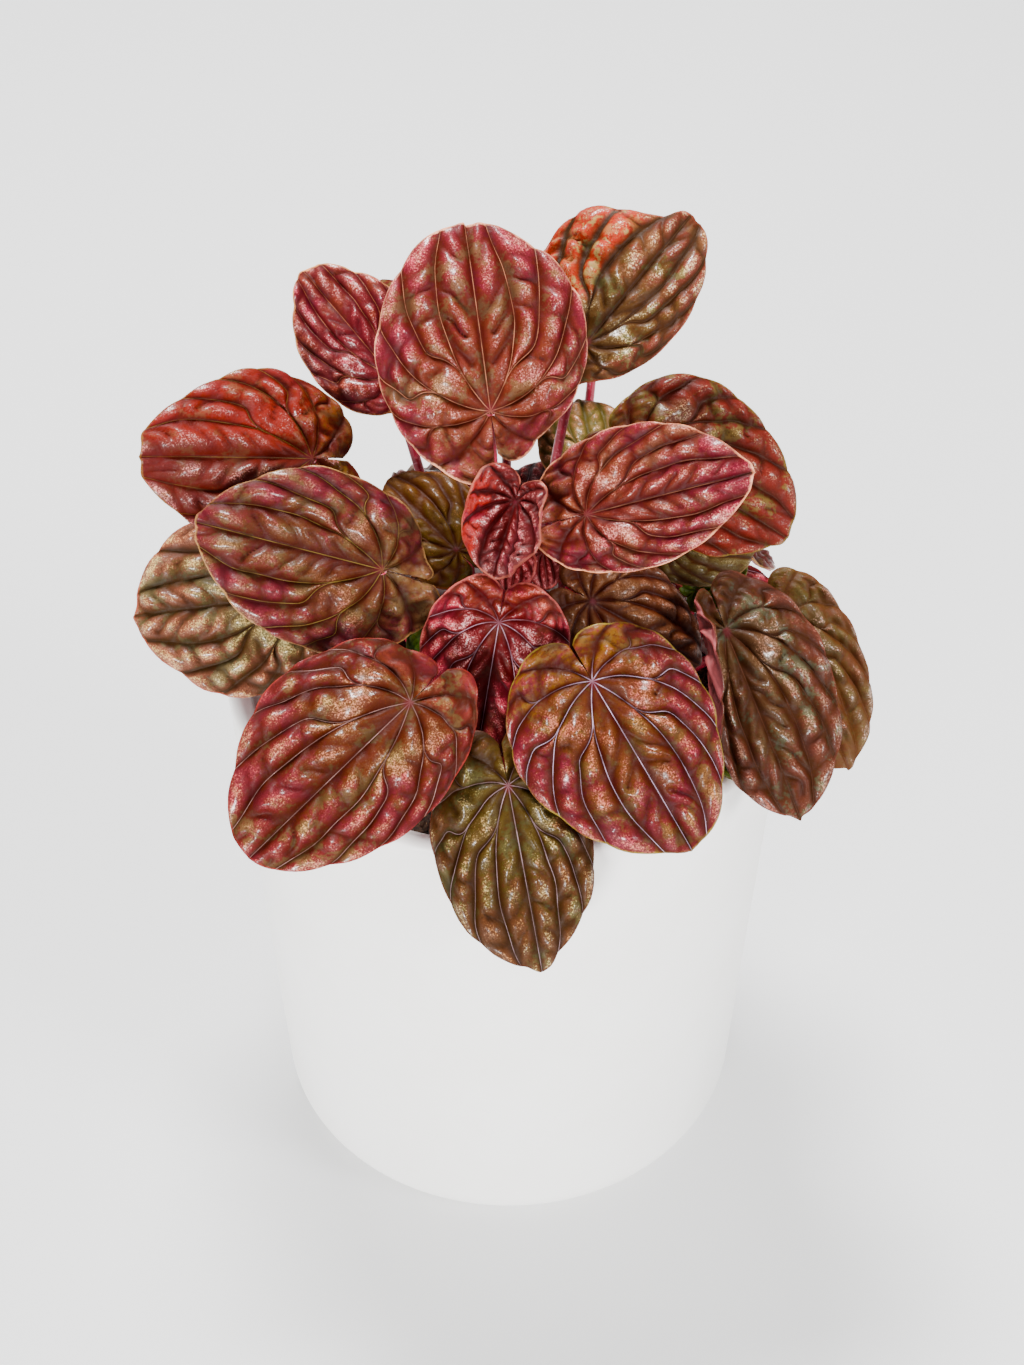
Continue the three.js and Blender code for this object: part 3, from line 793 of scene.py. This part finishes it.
    def half_field(self, side: float) -> dict[str, np.ndarray]:
        """Flat coordinates, height and surface numbers of one half, midrib included.

        Args:
            side: 1 for the left half, -1 for the right.

        Returns:
            Arrays of shape (rows, columns + 1).
        """
        form = self.form
        column = np.linspace(0.0, LAST_VEIN, self.columns + 1)
        column = np.sort(np.unique(np.concatenate([column, np.arange(0, LAST_VEIN + 1), (1.5, 2.5, 3.5)])))
        out = np.linspace(0.0, 1.0, self.rows + 1)[1:]
        grid_out, grid_column = np.meshgrid(out, column, indexing="ij")
        number = self.vein_number(grid_column, grid_out, side)
        x, y = self.flat(number, grid_out, side)
        main, branch, cross = self.vein_lines(side)
        border = np.stack([x[-1], y[-1]], axis=1)
        notch = np.stack([x[:, -1], y[:, -1]], axis=1)
        to_vein = np.stack([distance_to_line(x, y, line) for line in main + branch])
        to_edge = np.stack([distance_to_line(x, y, line) for line in (border, notch)]) + 0.03 * form.length
        nearest = np.sort(np.concatenate([to_vein, to_edge]), axis=0)[:2]
        width = nearest.sum(axis=0)
        crest = np.sin(math.pi * nearest[0] / width)
        shift = 0.012 * form.length * self.warp.at(x, y)
        cut = np.ones_like(crest)
        for line, depth in cross:
            away = distance_to_line(x + shift, y - shift, line) / (0.026 * form.length)
            cut *= 1.0 - depth * np.exp(-(away**1.5))
        colour_crest = crest * cut**0.7
        crest = crest * cut
        fullness = np.minimum(width / (0.22 * form.length), 1.0) ** 0.7
        lift = smooth(grid_out, 0.0, 0.25) * (1.0 - 0.5 * smooth(grid_out, 0.85, 1.0))
        height = form.relief * RIPPLE_HEIGHT * form.length * fullness * crest * lift
        height = height * (1.0 + 0.3 * self.swelling.at(x, y))
        height += form.pucker * self.pucker.at(x, y) * lift * crest + 0.05 * self.hammer.at(x, y) * lift
        height += 0.5 * np.exp(-((np.hypot(x, y) / 1.3) ** 2))
        wave = form.ruffle * smooth(grid_out, 0.5, 1.0) * self.ruffles.at(x, y + 40.0 * side)
        line_width = 0.05 * (1.1 - grid_out)
        reach = np.hypot(x[-1], y[-1])
        return {
            "x": x, "y": y, "z": height + wave,
            "crest": colour_crest * (0.35 + 0.65 * smooth(grid_out, 0.0, 0.36)),
            "vein": to_vein.min(axis=0), "vein_width": line_width,
            "margin": (1.0 - grid_out) * reach[None, :], "out": grid_out,
            "half": y / (0.4 * form.length), "along": x / form.length,
        }

    def pose(self, points: np.ndarray) -> np.ndarray:
        """Bends the flat blade and puts it in its place."""
        form = self.form
        for fold in form.folds:
            points = fold.bend(points)
        wide = 0.6 * form.length
        points = Fold(0.0, form.cup[0], wide).bend(points)
        points = Fold(180.0, form.cup[1], wide).bend(points)
        points = Fold(-90.0, -form.droop, form.length).bend(points)
        turn = axes(form) @ Matrix.Rotation(math.radians(-form.droop / 2.0), 3, "Y")
        return points @ np.array(turn).T + np.array(form.at)

    def build(self) -> tuple[np.ndarray, list, dict[str, np.ndarray], int]:
        """Points, faces and surface numbers of the closed blade, and how many faces are on top."""
        right = self.half_field(-1.0)
        left = self.half_field(1.0)
        fields = {key: np.concatenate([right[key][:, :0:-1], left[key]], axis=1) for key in left}
        rows, columns = fields["x"].shape
        thick = BLADE_THICKNESS * (1.0 - 0.6 * smooth(fields["out"], 0.93, 1.0)) / 2.0
        faces_points = []
        for side in (1.0, -1.0):
            centre = np.array([[0.0, 0.0, 0.5 + side * BLADE_THICKNESS / 2.0]])
            sheet = np.stack([fields["x"], fields["y"], fields["z"] + side * thick], axis=-1)
            faces_points.append(self.pose(np.concatenate([centre, sheet.reshape(-1, 3)])))
        points = np.concatenate(faces_points)
        size = 1 + rows * columns
        corner = 1 + np.arange(rows * columns).reshape(rows, columns)
        fan = np.stack([np.zeros(columns - 1, int), corner[0, :-1], corner[0, 1:]], axis=1)
        quads = np.stack([corner[:-1, :-1], corner[1:, :-1], corner[1:, 1:], corner[:-1, 1:]], axis=-1)
        quads = quads.reshape(-1, 4)
        rim = np.concatenate([[0], corner[:, 0], corner[-1, 1:], corner[-2::-1, -1]])
        after = np.roll(rim, -1)
        edge = np.stack([rim, rim + size, after + size, after], axis=1)
        top = fan.tolist() + quads.tolist() + edge.tolist()
        bottom = (fan[:, ::-1] + size).tolist() + (quads[:, ::-1] + size).tolist()
        numbers = {}
        for key in ("crest", "vein", "vein_width", "margin", "out", "half", "along"):
            one = np.concatenate([[0.0], fields[key].ravel()])
            numbers[key] = np.concatenate([one, one])
        return points, top + bottom, numbers, len(top)


def axes(form: LeafForm) -> Matrix:
    """Axes of a leaf: x along the midrib, y to the left half, z out of the upper face."""
    heading = Matrix.Rotation(math.radians(form.heading), 3, "Z")
    pitch = Matrix.Rotation(math.radians(-form.pitch), 3, "Y")
    return heading @ pitch @ Matrix.Rotation(math.radians(form.roll), 3, "X")


@dataclass
class Stalk:
    """The stalk of a leaf: it rises from its root, leans out and meets the blade's underside."""

    form: LeafForm
    sides: int = 14
    steps: int = 30

    def path(self) -> np.ndarray:
        """Points along the stalk's middle."""
        form = self.form
        foot = Vector((*form.root, SOIL_TOP - STALK_DEPTH))
        junction = Vector(form.at)
        forward, up_face, upright = form.arrive
        arrival = axes(form) @ Vector((forward, 0.0, up_face)) + Vector((0.0, 0.0, upright))
        arrival.normalize()
        lean = form.lean * (junction - foot).length
        corners = [foot, foot + Vector((0.0, 0.0, lean)), junction - arrival * lean, junction]
        u = np.linspace(0.0, 1.0, self.steps + 1)[:, None]
        a, b, c, d = (np.array(corner) for corner in corners)
        return (1 - u) ** 3 * a + 3 * u * (1 - u) ** 2 * b + 3 * u * u * (1 - u) * c + u**3 * d

    def build(self) -> tuple[np.ndarray, list]:
        """Points and faces of the closed stalk."""
        path = self.path()
        thick = 1.35 if self.form.length > 30 else 1.05
        u = np.linspace(0.0, 1.0, len(path))
        radius = thick * (1.12 - 0.3 * u + 0.25 * np.exp(-(((u - 1.0) / 0.035) ** 2)))
        tangent = np.gradient(path, axis=0)
        tangent /= np.linalg.norm(tangent, axis=1)[:, None]
        across = np.array([1.0, 0.0, 0.0])
        rings = []
        turn = np.linspace(0.0, 2.0 * math.pi, self.sides, endpoint=False)
        for centre, along, size in zip(path, tangent, radius):
            across = across - along * (across @ along)
            across /= np.linalg.norm(across)
            other = np.cross(along, across)
            rings.append(centre + size * (np.outer(np.cos(turn), across) + np.outer(np.sin(turn), other)))
        points = np.concatenate([*rings, path[:1], path[-1:]])
        faces = []
        for i in range(len(path) - 1):
            for k in range(self.sides):
                after = (k + 1) % self.sides
                low, high = i * self.sides, (i + 1) * self.sides
                faces.append((low + k, low + after, high + after, high + k))
        foot, tip = len(points) - 2, len(points) - 1
        last = (len(path) - 1) * self.sides
        for k in range(self.sides):
            after = (k + 1) % self.sides
            faces.append((foot, after, k))
            faces.append((tip, last + k, last + after))
        return points, faces


class Plant:
    """All leaves, with the materials that they share."""

    def __init__(self, forms: tuple[LeafForm, ...]) -> None:
        """Keeps the forms and makes the stalk's finish."""
        self.forms = forms
        self.stalk = StalkFinish().material()
        self.uppers: dict[Finish, bpy.types.Material] = {}
        self.lowers: dict[Finish, bpy.types.Material] = {}

    def materials(self, finish: Finish) -> tuple[bpy.types.Material, bpy.types.Material]:
        """The upper and lower material of a finish, made once."""
        if finish not in self.uppers:
            name = finish.name.lower()
            self.uppers[finish] = finish.value.upper(f"{name}_upper")
            self.lowers[finish] = finish.value.lower(f"{name}_lower")
        return self.uppers[finish], self.lowers[finish]

    def build(self) -> None:
        """Makes every leaf as one piece."""
        for seed, form in enumerate(self.forms):
            points, faces, numbers, on_top = Blade(form, seed + 11).build()
            stalk_points, stalk_faces = Stalk(form).build()
            shifted = [tuple(i + len(points) for i in face) for face in stalk_faces]
            mesh = build_mesh(f"{form.name}_fine", np.concatenate([points, stalk_points]), faces + shifted)
            for material in (*self.materials(form.finish), self.stalk):
                mesh.materials.append(material)
            kinds = [0] * on_top + [1] * (len(faces) - on_top) + [2] * len(shifted)
            mesh.polygons.foreach_set("material_index", kinds)
            for key, numbers_of in numbers.items():
                layer = mesh.attributes.new(key, "FLOAT", "POINT")
                layer.data.foreach_set("value", np.concatenate([numbers_of, np.zeros(len(stalk_points))]))
            place(f"{form.name}_fine", mesh, form.name, form.slot)


@dataclass
class Pot:
    """The tapered cover pot, turned from its profile."""

    segments: int = 160

    def wall_radius(self, height: float) -> float:
        """Outer radius of the tapered wall at a height."""
        return POT_BASE_RADIUS + (POT_RIM_RADIUS - POT_BASE_RADIUS) * height / POT_HEIGHT

    def arc(self, centre: Pair, radius: float, start: float, end: float, steps: int) -> list[Pair]:
        """Points of an arc in the profile's plane, angles in degrees."""
        angles = np.radians(np.linspace(start, end, steps + 1))
        return [(centre[0] + radius * math.cos(a), centre[1] + radius * math.sin(a)) for a in angles]

    def profile(self) -> list[Pair]:
        """Radius and height along the profile, from the underside's middle round to the floor's."""
        foot = POT_FOOT_ROUNDING
        lip = POT_WALL / 2.0
        inner_rounding = foot - POT_WALL
        inner_foot = self.wall_radius(POT_FLOOR) - POT_WALL
        inner_centre = (inner_foot - inner_rounding, POT_FLOOR + inner_rounding)
        outer = self.arc((self.wall_radius(foot) - foot, foot), foot, -90.0, 0.0, 14)
        lip_arc = self.arc((POT_RIM_RADIUS - lip, POT_HEIGHT - lip), lip, 0.0, 180.0, 16)
        inner = self.arc(inner_centre, inner_rounding, 0.0, -90.0, 8)
        wall = [(self.wall_radius(h), h) for h in np.linspace(foot, POT_HEIGHT - lip, 12)[1:-1]]
        start, end = lip_arc[-1], inner[0]
        well = [(start[0] + (end[0] - start[0]) * u, start[1] + (end[1] - start[1]) * u)
                for u in np.linspace(0.0, 1.0, 12)[1:-1]]
        return [*outer, *wall, *lip_arc, *well, *inner]

    def build(self) -> None:
        """Makes the pot."""
        ring = turned(self.profile(), self.segments, (0.0, 0.0), (0.0, POT_FLOOR))
        mesh = build_mesh("pot_fine", *ring)
        mesh.materials.append(GlazeFinish().material())
        place("pot_fine", mesh, "pot", "pot")


def turned(profile: list[Pair], segments: int, first: Pair, last: Pair) -> tuple[np.ndarray, list]:
    """Turns an open profile about the vertical axis and closes both ends on the axis.

    Args:
        profile: radius and height of its points.
        segments: number of steps round the axis.
        first: radius and height of the point that closes the start.
        last: the same for the end.

    Returns:
        Points and faces.
    """
    angles = np.linspace(0.0, 2.0 * math.pi, segments, endpoint=False)
    rings = [np.stack([r * np.cos(angles), r * np.sin(angles), np.full(segments, h)], axis=1)
             for r, h in profile]
    ends = np.array([[0.0, 0.0, first[1]], [0.0, 0.0, last[1]]])
    points = np.concatenate([*rings, ends])
    faces = []
    for i in range(len(profile) - 1):
        for k in range(segments):
            after = (k + 1) % segments
            low, high = i * segments, (i + 1) * segments
            faces.append((low + k, low + after, high + after, high + k))
    start, end = len(points) - 2, len(points) - 1
    top = (len(profile) - 1) * segments
    for k in range(segments):
        after = (k + 1) % segments
        faces.append((start, after, k))
        faces.append((end, top + k, top + after))
    return points, faces


@dataclass
class Soil:
    """The potting mix: a body with an uneven top, and loose crumbs on it."""

    crumbs: int = 2600
    crumb_size: float = 2.1
    seed: int = 5

    def radius(self) -> float:
        """Radius of the top, just inside the pot's wall."""
        return Pot().wall_radius(SOIL_TOP) - POT_WALL - 0.5

    def top_height(self, x: np.ndarray, y: np.ndarray) -> np.ndarray:
        """Height of the uneven top."""
        rng = np.random.default_rng(self.seed)
        near = np.clip(1.0 - np.hypot(x, y) / self.radius(), 0.0, 1.0)
        uneven = 0.7 * Swell(rng, 14.0).at(x, y) + 0.4 * Swell(rng, 4.0).at(x, y)
        return SOIL_TOP + SOIL_MOUND * smooth(near, 0.0, 0.8) + uneven

    def body(self) -> tuple[np.ndarray, list]:
        """Points and faces of the body."""
        pot = Pot()
        inset = POT_WALL + 0.5
        foot = POT_FLOOR + POT_FOOT_ROUNDING
        profile = [(pot.wall_radius(POT_FLOOR) - POT_FOOT_ROUNDING, POT_FLOOR + 0.3),
                   (pot.wall_radius(foot) - inset, foot), (self.radius(), SOIL_TOP - 1.0)]
        profile += [(self.radius() * share, SOIL_TOP) for share in np.linspace(1.0, 0.02, 60)]
        points, faces = turned(profile, 120, (0.0, POT_FLOOR + 0.3), (0.0, SOIL_TOP))
        top = points[:, 2] >= SOIL_TOP - 1e-6
        points[top, 2] = self.top_height(points[top, 0], points[top, 1])
        return points, faces

    def crumb_tree(self, material: bpy.types.Material) -> bpy.types.NodeTree:
        """The node tree that strews crumbs over a surface."""
        tree = bpy.data.node_groups.new("strewn_crumbs", "GeometryNodeTree")
        tree.interface.new_socket("Geometry", in_out="INPUT", socket_type="NodeSocketGeometry")
        inputs = {"Density": "NodeSocketFloat", "Size": "NodeSocketFloat", "Seed": "NodeSocketInt"}
        for name, kind in inputs.items():
            tree.interface.new_socket(name, in_out="INPUT", socket_type=kind)
        tree.interface.new_socket("Geometry", in_out="OUTPUT", socket_type="NodeSocketGeometry")
        new, link = tree.nodes.new, tree.links.new
        given, result = new("NodeGroupInput"), new("NodeGroupOutput")
        points = new("GeometryNodeDistributePointsOnFaces")
        link(given.outputs["Geometry"], points.inputs["Mesh"])
        link(given.outputs["Density"], points.inputs["Density"])
        link(given.outputs["Seed"], points.inputs["Seed"])
        ball = new("GeometryNodeMeshIcoSphere")
        ball.inputs["Radius"].default_value = 1.0
        ball.inputs["Subdivisions"].default_value = 1
        turn = new("FunctionNodeRandomValue")
        turn.data_type = "FLOAT_VECTOR"
        turn.inputs["Max"].default_value = (6.28, 6.28, 6.28)
        size = new("FunctionNodeRandomValue")
        size.data_type = "FLOAT_VECTOR"
        size.inputs["Min"].default_value = (0.25, 0.2, 0.15)
        size.inputs["Max"].default_value = (1.0, 0.7, 0.45)
        scale = new("ShaderNodeVectorMath")
        scale.operation = "SCALE"
        link(size.outputs["Value"], scale.inputs[0])
        link(given.outputs["Size"], scale.inputs["Scale"])
        for draw in (turn, size):
            link(given.outputs["Seed"], draw.inputs["Seed"])
        copies = new("GeometryNodeInstanceOnPoints")
        link(points.outputs["Points"], copies.inputs["Points"])
        link(ball.outputs["Mesh"], copies.inputs["Instance"])
        link(turn.outputs["Value"], copies.inputs["Rotation"])
        link(scale.outputs["Vector"], copies.inputs["Scale"])
        real, paint = new("GeometryNodeRealizeInstances"), new("GeometryNodeSetMaterial")
        paint.inputs["Material"].default_value = material
        link(copies.outputs["Instances"], real.inputs["Geometry"])
        link(real.outputs["Geometry"], paint.inputs["Geometry"])
        link(paint.outputs["Geometry"], result.inputs["Geometry"])
        return tree

    def strew(self, material: bpy.types.Material) -> bpy.types.Mesh:
        """Strews the crumbs over the top and returns them as a plain mesh."""
        points, faces = self.body()
        top = [face for face in faces if min(points[i][2] for i in face) > SOIL_TOP - 3.0]
        top = [face for face in top if max(math.hypot(*points[i][:2]) for i in face) < self.radius() - 1.5]
        bed = bpy.data.objects.new("soil_bed", build_mesh("soil_bed", points, top))
        bpy.context.scene.collection.objects.link(bed)
        modifier = bed.modifiers.new("crumbs", "NODES")
        modifier.node_group = self.crumb_tree(material)
        area = math.pi * (self.radius() * MM) ** 2
        wanted = {"Density": self.crumbs / area, "Size": self.crumb_size * MM, "Seed": self.seed}
        for item in modifier.node_group.interface.items_tree:
            if item.in_out == "INPUT" and item.name in wanted:
                modifier[item.identifier] = wanted[item.name]
        evaluated = bed.evaluated_get(bpy.context.evaluated_depsgraph_get())
        mesh = bpy.data.meshes.new_from_object(evaluated)
        bed.modifiers.remove(modifier)
        bpy.data.objects.remove(bed)
        return mesh

    def build(self) -> None:
        """Makes the body and the crumbs."""
        material = SoilFinish().material()
        body = build_mesh("soil_fine", *self.body())
        body.materials.append(material)
        place("soil_fine", body, "soil", "soil")
        place("soil_crumbs", self.strew(material), None, "soil")


# ---------------------------------------------------------------- the leaves' forms

LEAVES = (
    # crown
    LeafForm("leaf_crown_front", "rose_leaf", Finish.ROSE, 45, (-4, -8, 227), (2, 0), 101, 44, -5,
             half=(0.86, 0.86), cup=(-12, -15), droop=20,
             bulges=((-3.9, 0.8, -0.32), (-2.1, 0.6, 0.07), (0.0, 0.5, -0.03), (3.5, 0.7, -0.05),
                     (5.0, 0.5, 0.3))),
    LeafForm("leaf_crown_right", "red_leaf", Finish.EMBER, 41, (18, 16, 229), (7, 5), 46, 28, 35,
             half=(0.9, 0.54), cup=(-10, -10), folds=(Fold(18, -30, 6),),
             bulges=((2.7, 0.8, 0.07), (2.0, 0.45, 0.1), (1.1, 0.6, -0.08), (-2.2, 1.0, 0.14),
                     (-3.9, 0.9, -0.34))),
    LeafForm("leaf_crown_left", "rose_leaf", Finish.MAGENTA, 34, (-28, 20, 218), (-9, 6), 134, 26, -28,
             half=(0.62, 0.66), cup=(-10, -10), ruffle=1.2,
             bulges=((2.7, 1.0, 0.13), (-2.4, 1.0, 0.03), (4.2, 0.7, -0.22))),
    # left side
    LeafForm("leaf_left_upper", "red_leaf", Finish.SCARLET, 42, (-46, 0, 208), (-15, 0), -161, 14, -50,
             half=(0.82, 0.82), bulges=((-2.0, 1.2, -0.04), (-4.4, 0.9, -0.2))),
    LeafForm("leaf_left_middle", "rust_leaf", Finish.RUST, 44, (-29, -25, 195), (-13, -9), 177, 16, -52,
             half=(0.8, 0.74), cup=(-15, -15), droop=15,
             bulges=((-4.3, 0.9, -0.34), (-3.0, 0.5, -0.05), (5.0, 0.5, 0.25), (-5.0, 0.4, 0.3))),
    LeafForm("leaf_left_lower", "olive_leaf", Finish.SAGE, 39, (-52, -10, 175), (-21, -5), 178, -11, -48,
             half=(0.92, 0.92), cup=(-15, -15), droop=15, bulges=((-2.2, 1.0, 0.07),)),
    # front
    LeafForm("leaf_front_left", "rust_leaf", Finish.COPPER, 52, (-22, -53, 179), (-13, -19), -145, -29, -38,
             half=(0.66, 0.77), cup=(-12, -15), droop=20,
             bulges=((0.8, 2.0, -0.035), (-4.3, 0.9, -0.38), (-3.1, 0.5, -0.04), (4.0, 0.9, -0.14))),
    LeafForm("leaf_front_low", "olive_leaf", Finish.OLIVE, 43, (0, -60, 160), (0, -26), -74, -49, 10,
             half=(0.68, 0.68), cup=(-20, -20), droop=20, bulges=((-2.5, 1.2, 0.08), (2.0, 1.2, -0.05))),
    LeafForm("leaf_front_right", "red_leaf", Finish.GARNET, 46, (19, -48, 181), (8, -24), -45, -44, 30,
             half=(0.74, 0.88), cup=(-12, -15), droop=20,
             bulges=((-1.5, 1.5, -0.04), (4.4, 0.8, -0.22), (-4.4, 0.8, -0.1))),
    LeafForm("leaf_heart_front", "crimson_leaf", Finish.CRIMSON, 33, (-2, -34, 187), (-2, -14), -117,
             -70, -20, cup=(-10, -10), ruffle=1.3, pucker=0.5,
             bulges=((3.2, 0.8, 0.08), (-3.0, 0.7, 0.06), (0.0, 0.4, -0.05), (1.3, 0.6, 0.1),
                     (-1.3, 0.6, 0.1))),
    LeafForm("leaf_heart_folded", "crimson_leaf", Finish.WINE, 18, (2, -22, 212), (1, -8), -119, -52,
             half=(1.1, 1.1), cup=(10, 10), droop=0, folds=(Fold(0, 24, 2.5), Fold(180, 24, 2.5)),
             ruffle=1.3, relief=1.6, pucker=0.4, grid=0.6,
             bulges=((-4.2, 0.8, 0.3), (-2.6, 0.7, -0.08), (4.3, 0.7, 0.12))),
    # right side
    LeafForm("leaf_right_upper", "rose_leaf", Finish.PINK, 40, (18, -24, 210), (9, -3), -10, 24, 52,
             half=(0.72, 0.6), arrive=(0.35, 0.9, 0), lean=0.4,
             bulges=((5.0, 0.5, 0.35), (-5.0, 0.5, 0.35))),
    LeafForm("leaf_right_back", "red_leaf", Finish.RUSSET, 42, (31, 1, 210), (14, 0), -8, -32, 52,
             half=(0.76, 0.66), bulges=((2.7, 1.2, 0.14), (4.3, 0.7, -0.25), (-2.6, 1.0, -0.1))),
    LeafForm("leaf_right_dark", "bronze_leaf", Finish.COCOA, 34, (19, -23, 184), (14, -10), 4, -38, 45,
             half=(0.72, 0.75)),
    LeafForm("leaf_right_rolled", "bronze_leaf", Finish.BRONZE, 48, (51, -23, 175), (22, -8), -62, -40, 18,
             half=(0.68, 0.52), arrive=(0.35, 0.9, 0), folds=(Fold(167, 120, 8, (0, -2)),),
             bulges=((4.1, 0.8, -0.15), (-4.2, 0.8, -0.3))),
    LeafForm("leaf_right_outer", "bronze_leaf", Finish.UMBER, 39, (66, -10, 167), (26, 1), -57, -42, 15,
             half=(0.64, 0.64)),
    # smaller leaves between the large ones
    LeafForm("leaf_inner_olive", "olive_leaf", Finish.MOSS, 26, (-12, -12, 190), (-7, -5), 132, 13, -20,
             half=(0.76, 0.76), grid=1.3, bulges=((-2.2, 1.5, 0.13),)),
    LeafForm("leaf_inner_green", "green_leaf", Finish.PALE, 22, (21, 28, 187), (8, 12), 98, 10,
             half=(0.95, 0.95)),
    LeafForm("leaf_inner_flat", "olive_leaf", Finish.KHAKI, 28, (35, 4, 183), (15, -5), 15, -19, 20,
             grid=1.3),
    LeafForm("leaf_inner_lime", "green_leaf", Finish.LIME, 14, (47, 8, 162), (21, 3), 10, 30, 20),
    LeafForm("leaf_low_left", "green_leaf", Finish.GREEN, 15, (-17, -29, 170), (-15, -15), 92, 33, -20),
    LeafForm("leaf_low_right", "green_leaf", Finish.GREEN, 20, (48, -33, 156), (19, -15), -35, -35),
    LeafForm("leaf_bud_left", "crimson_leaf", Finish.BUD, 9, (2, -20, 195), (4, -12), -100, -40,
             half=(0.9, 0.9), cup=(20, 20), droop=0, lean=0.2, grid=0.7),
    LeafForm("leaf_bud_right", "crimson_leaf", Finish.BUD, 9, (8, -16, 193), (9, -13), -80, -40,
             half=(0.9, 0.9), cup=(20, 20), droop=0, lean=0.2, grid=0.7),
    LeafForm("leaf_bud_narrow", "crimson_leaf", Finish.CRIMSON, 15, (-7, 8, 187), (-7, 4), 140, 40, -60,
             half=(0.5, 0.5), cup=(20, 20), droop=0),
    # back
    LeafForm("leaf_back_crown", "rose_leaf", Finish.ROSE, 38, (-8, 30, 203), (-2, 8), 95, 15, grid=1.5),
    LeafForm("leaf_back_high_left", "red_leaf", Finish.RUSSET, 33, (-18, 52, 202), (-6, 11), 120, 6,
             grid=1.5),
    LeafForm("leaf_back_high_right", "olive_leaf", Finish.SAGE, 33, (22, 60, 208), (11, 17), 95, 10, 5,
             grid=1.5),
    LeafForm("leaf_back_centre", "bronze_leaf", Finish.BRONZE, 33, (0, 56, 196), (0, 20), 83, -2, grid=1.5),
    LeafForm("leaf_back_right", "rust_leaf", Finish.RUST, 38, (40, 32, 174), (13, 9), 48, -14, grid=1.5),
    LeafForm("leaf_back_right_low", "crimson_leaf", Finish.CRIMSON, 28, (47, 19, 161), (19, 10), 8, -25, 10,
             half=(0.65, 0.65), grid=1.5, bulges=((1.8, 1.3, -0.28),)),
    LeafForm("leaf_back_left", "red_leaf", Finish.GARNET, 36, (-50, 36, 186), (-16, 11), 135, -5, grid=1.5,
             bulges=((-3.8, 1.2, -0.3),)),
    LeafForm("leaf_back_left_low", "olive_leaf", Finish.OLIVE, 36, (-60, 20, 160), (-22, 6), 160, -25,
             grid=1.5),
    LeafForm("leaf_rear_left", "rust_leaf", Finish.COPPER, 33, (-14, 50, 166), (-5, 20), 98, -32, grid=1.5),
    LeafForm("leaf_rear_right", "bronze_leaf", Finish.BRONZE, 38, (22, 50, 163), (8, 20), 78, -30,
             grid=1.5),
    LeafForm("leaf_rear_outer_left", "olive_leaf", Finish.OLIVE, 37, (-44, 48, 154), (-15, 18), 128, -38,
             grid=1.5),
    LeafForm("leaf_rear_outer_right", "rust_leaf", Finish.RUST, 32, (52, 44, 156), (18, 16), 34, -45,
             grid=1.5, bulges=((0.0, 1.6, -0.25),)),
    LeafForm("leaf_back_inner", "crimson_leaf", Finish.CRIMSON, 24, (6, 24, 175), (4, 14), 80, -5,
             half=(0.7, 0.7), grid=1.5),
)


# ---------------------------------------------------------------- stage


@dataclass(frozen=True)
class AreaLight:
    """A soft square light, aimed at the plant."""

    name: str
    at: Triple
    size: float
    power: float

    def build(self) -> None:
        """Adds the light."""
        data = bpy.data.lights.new(self.name, "AREA")
        data.size = self.size
        data.energy = self.power
        light = bpy.data.objects.new(self.name, data)
        bpy.context.scene.collection.objects.link(light)
        light.location = self.at
        aim = Vector((0.0, 0.0, 0.12)) - light.location
        light.rotation_euler = aim.to_track_quat("-Z", "Y").to_euler()


class Stage:
    """Floor, lights and camera."""

    LIGHTS = (
        AreaLight("key", (-0.15, 0.45, 1.35), 0.35, 43.0),
        AreaLight("front", (-1.2, -2.7, 0.2), 0.8, 200.0),
        AreaLight("side", (1.15, -0.75, 0.75), 0.45, 24.0),
    )
    CAMERA_TARGET = (0.9, 0.0, 139.0)
    CAMERA_DISTANCE = 620.0
    CAMERA_PITCH = 41.0
    LENS = 65.1

    def floor(self) -> None:
        """A large pale floor."""
        size = 6000.0
        points = np.array([(-size, -size, 0), (size, -size, 0), (size, size, 0), (-size, size, 0)], float)
        mesh = build_mesh("floor", points, [(0, 1, 2, 3)])
        n = Nodes("floor_pale", (236, 236, 236))
        glow = {"Emission_Color": (1.0, 1.0, 1.0, 1.0), "Emission_Strength": 0.66}
        mesh.materials.append(n.finish(Base_Color=srgb((206, 206, 206)), Roughness=0.9, **glow))
        floor = bpy.data.objects.new("floor", mesh)
        bpy.context.scene.collection.objects.link(floor)

    def world(self) -> None:
        """Even soft light from all round."""
        world = bpy.data.worlds.new("soft_room")
        world.use_nodes = True
        background = world.node_tree.nodes["Background"]
        background.inputs["Color"].default_value = (1.0, 1.0, 1.0, 1.0)
        background.inputs["Strength"].default_value = 0.6
        bpy.context.scene.world = world

    def camera(self) -> None:
        """A camera that looks down at the front of the plant."""
        data = bpy.data.cameras.new("camera")
        data.lens = self.LENS
        data.sensor_width = 36.0
        camera = bpy.data.objects.new("camera", data)
        bpy.context.scene.collection.objects.link(camera)
        pitch = math.radians(self.CAMERA_PITCH)
        back = Vector((0.0, -math.cos(pitch), math.sin(pitch)))
        camera.location = (Vector(self.CAMERA_TARGET) + back * self.CAMERA_DISTANCE) * MM
        camera.rotation_euler = (math.pi / 2.0 - pitch, 0.0, 0.0)
        bpy.context.scene.camera = camera

    def build(self) -> None:
        """Sets the stage."""
        self.camera()
        self.floor()
        self.world()
        for light in self.LIGHTS:
            light.build()


def main() -> None:
    """Builds the stage and every piece."""
    logging.basicConfig(level=logging.INFO, format="%(message)s")
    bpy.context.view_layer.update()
    Stage().build()
    Pot().build()
    Soil().build()
    Plant(LEAVES).build()
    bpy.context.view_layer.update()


if __name__ == "__main__":
    main()
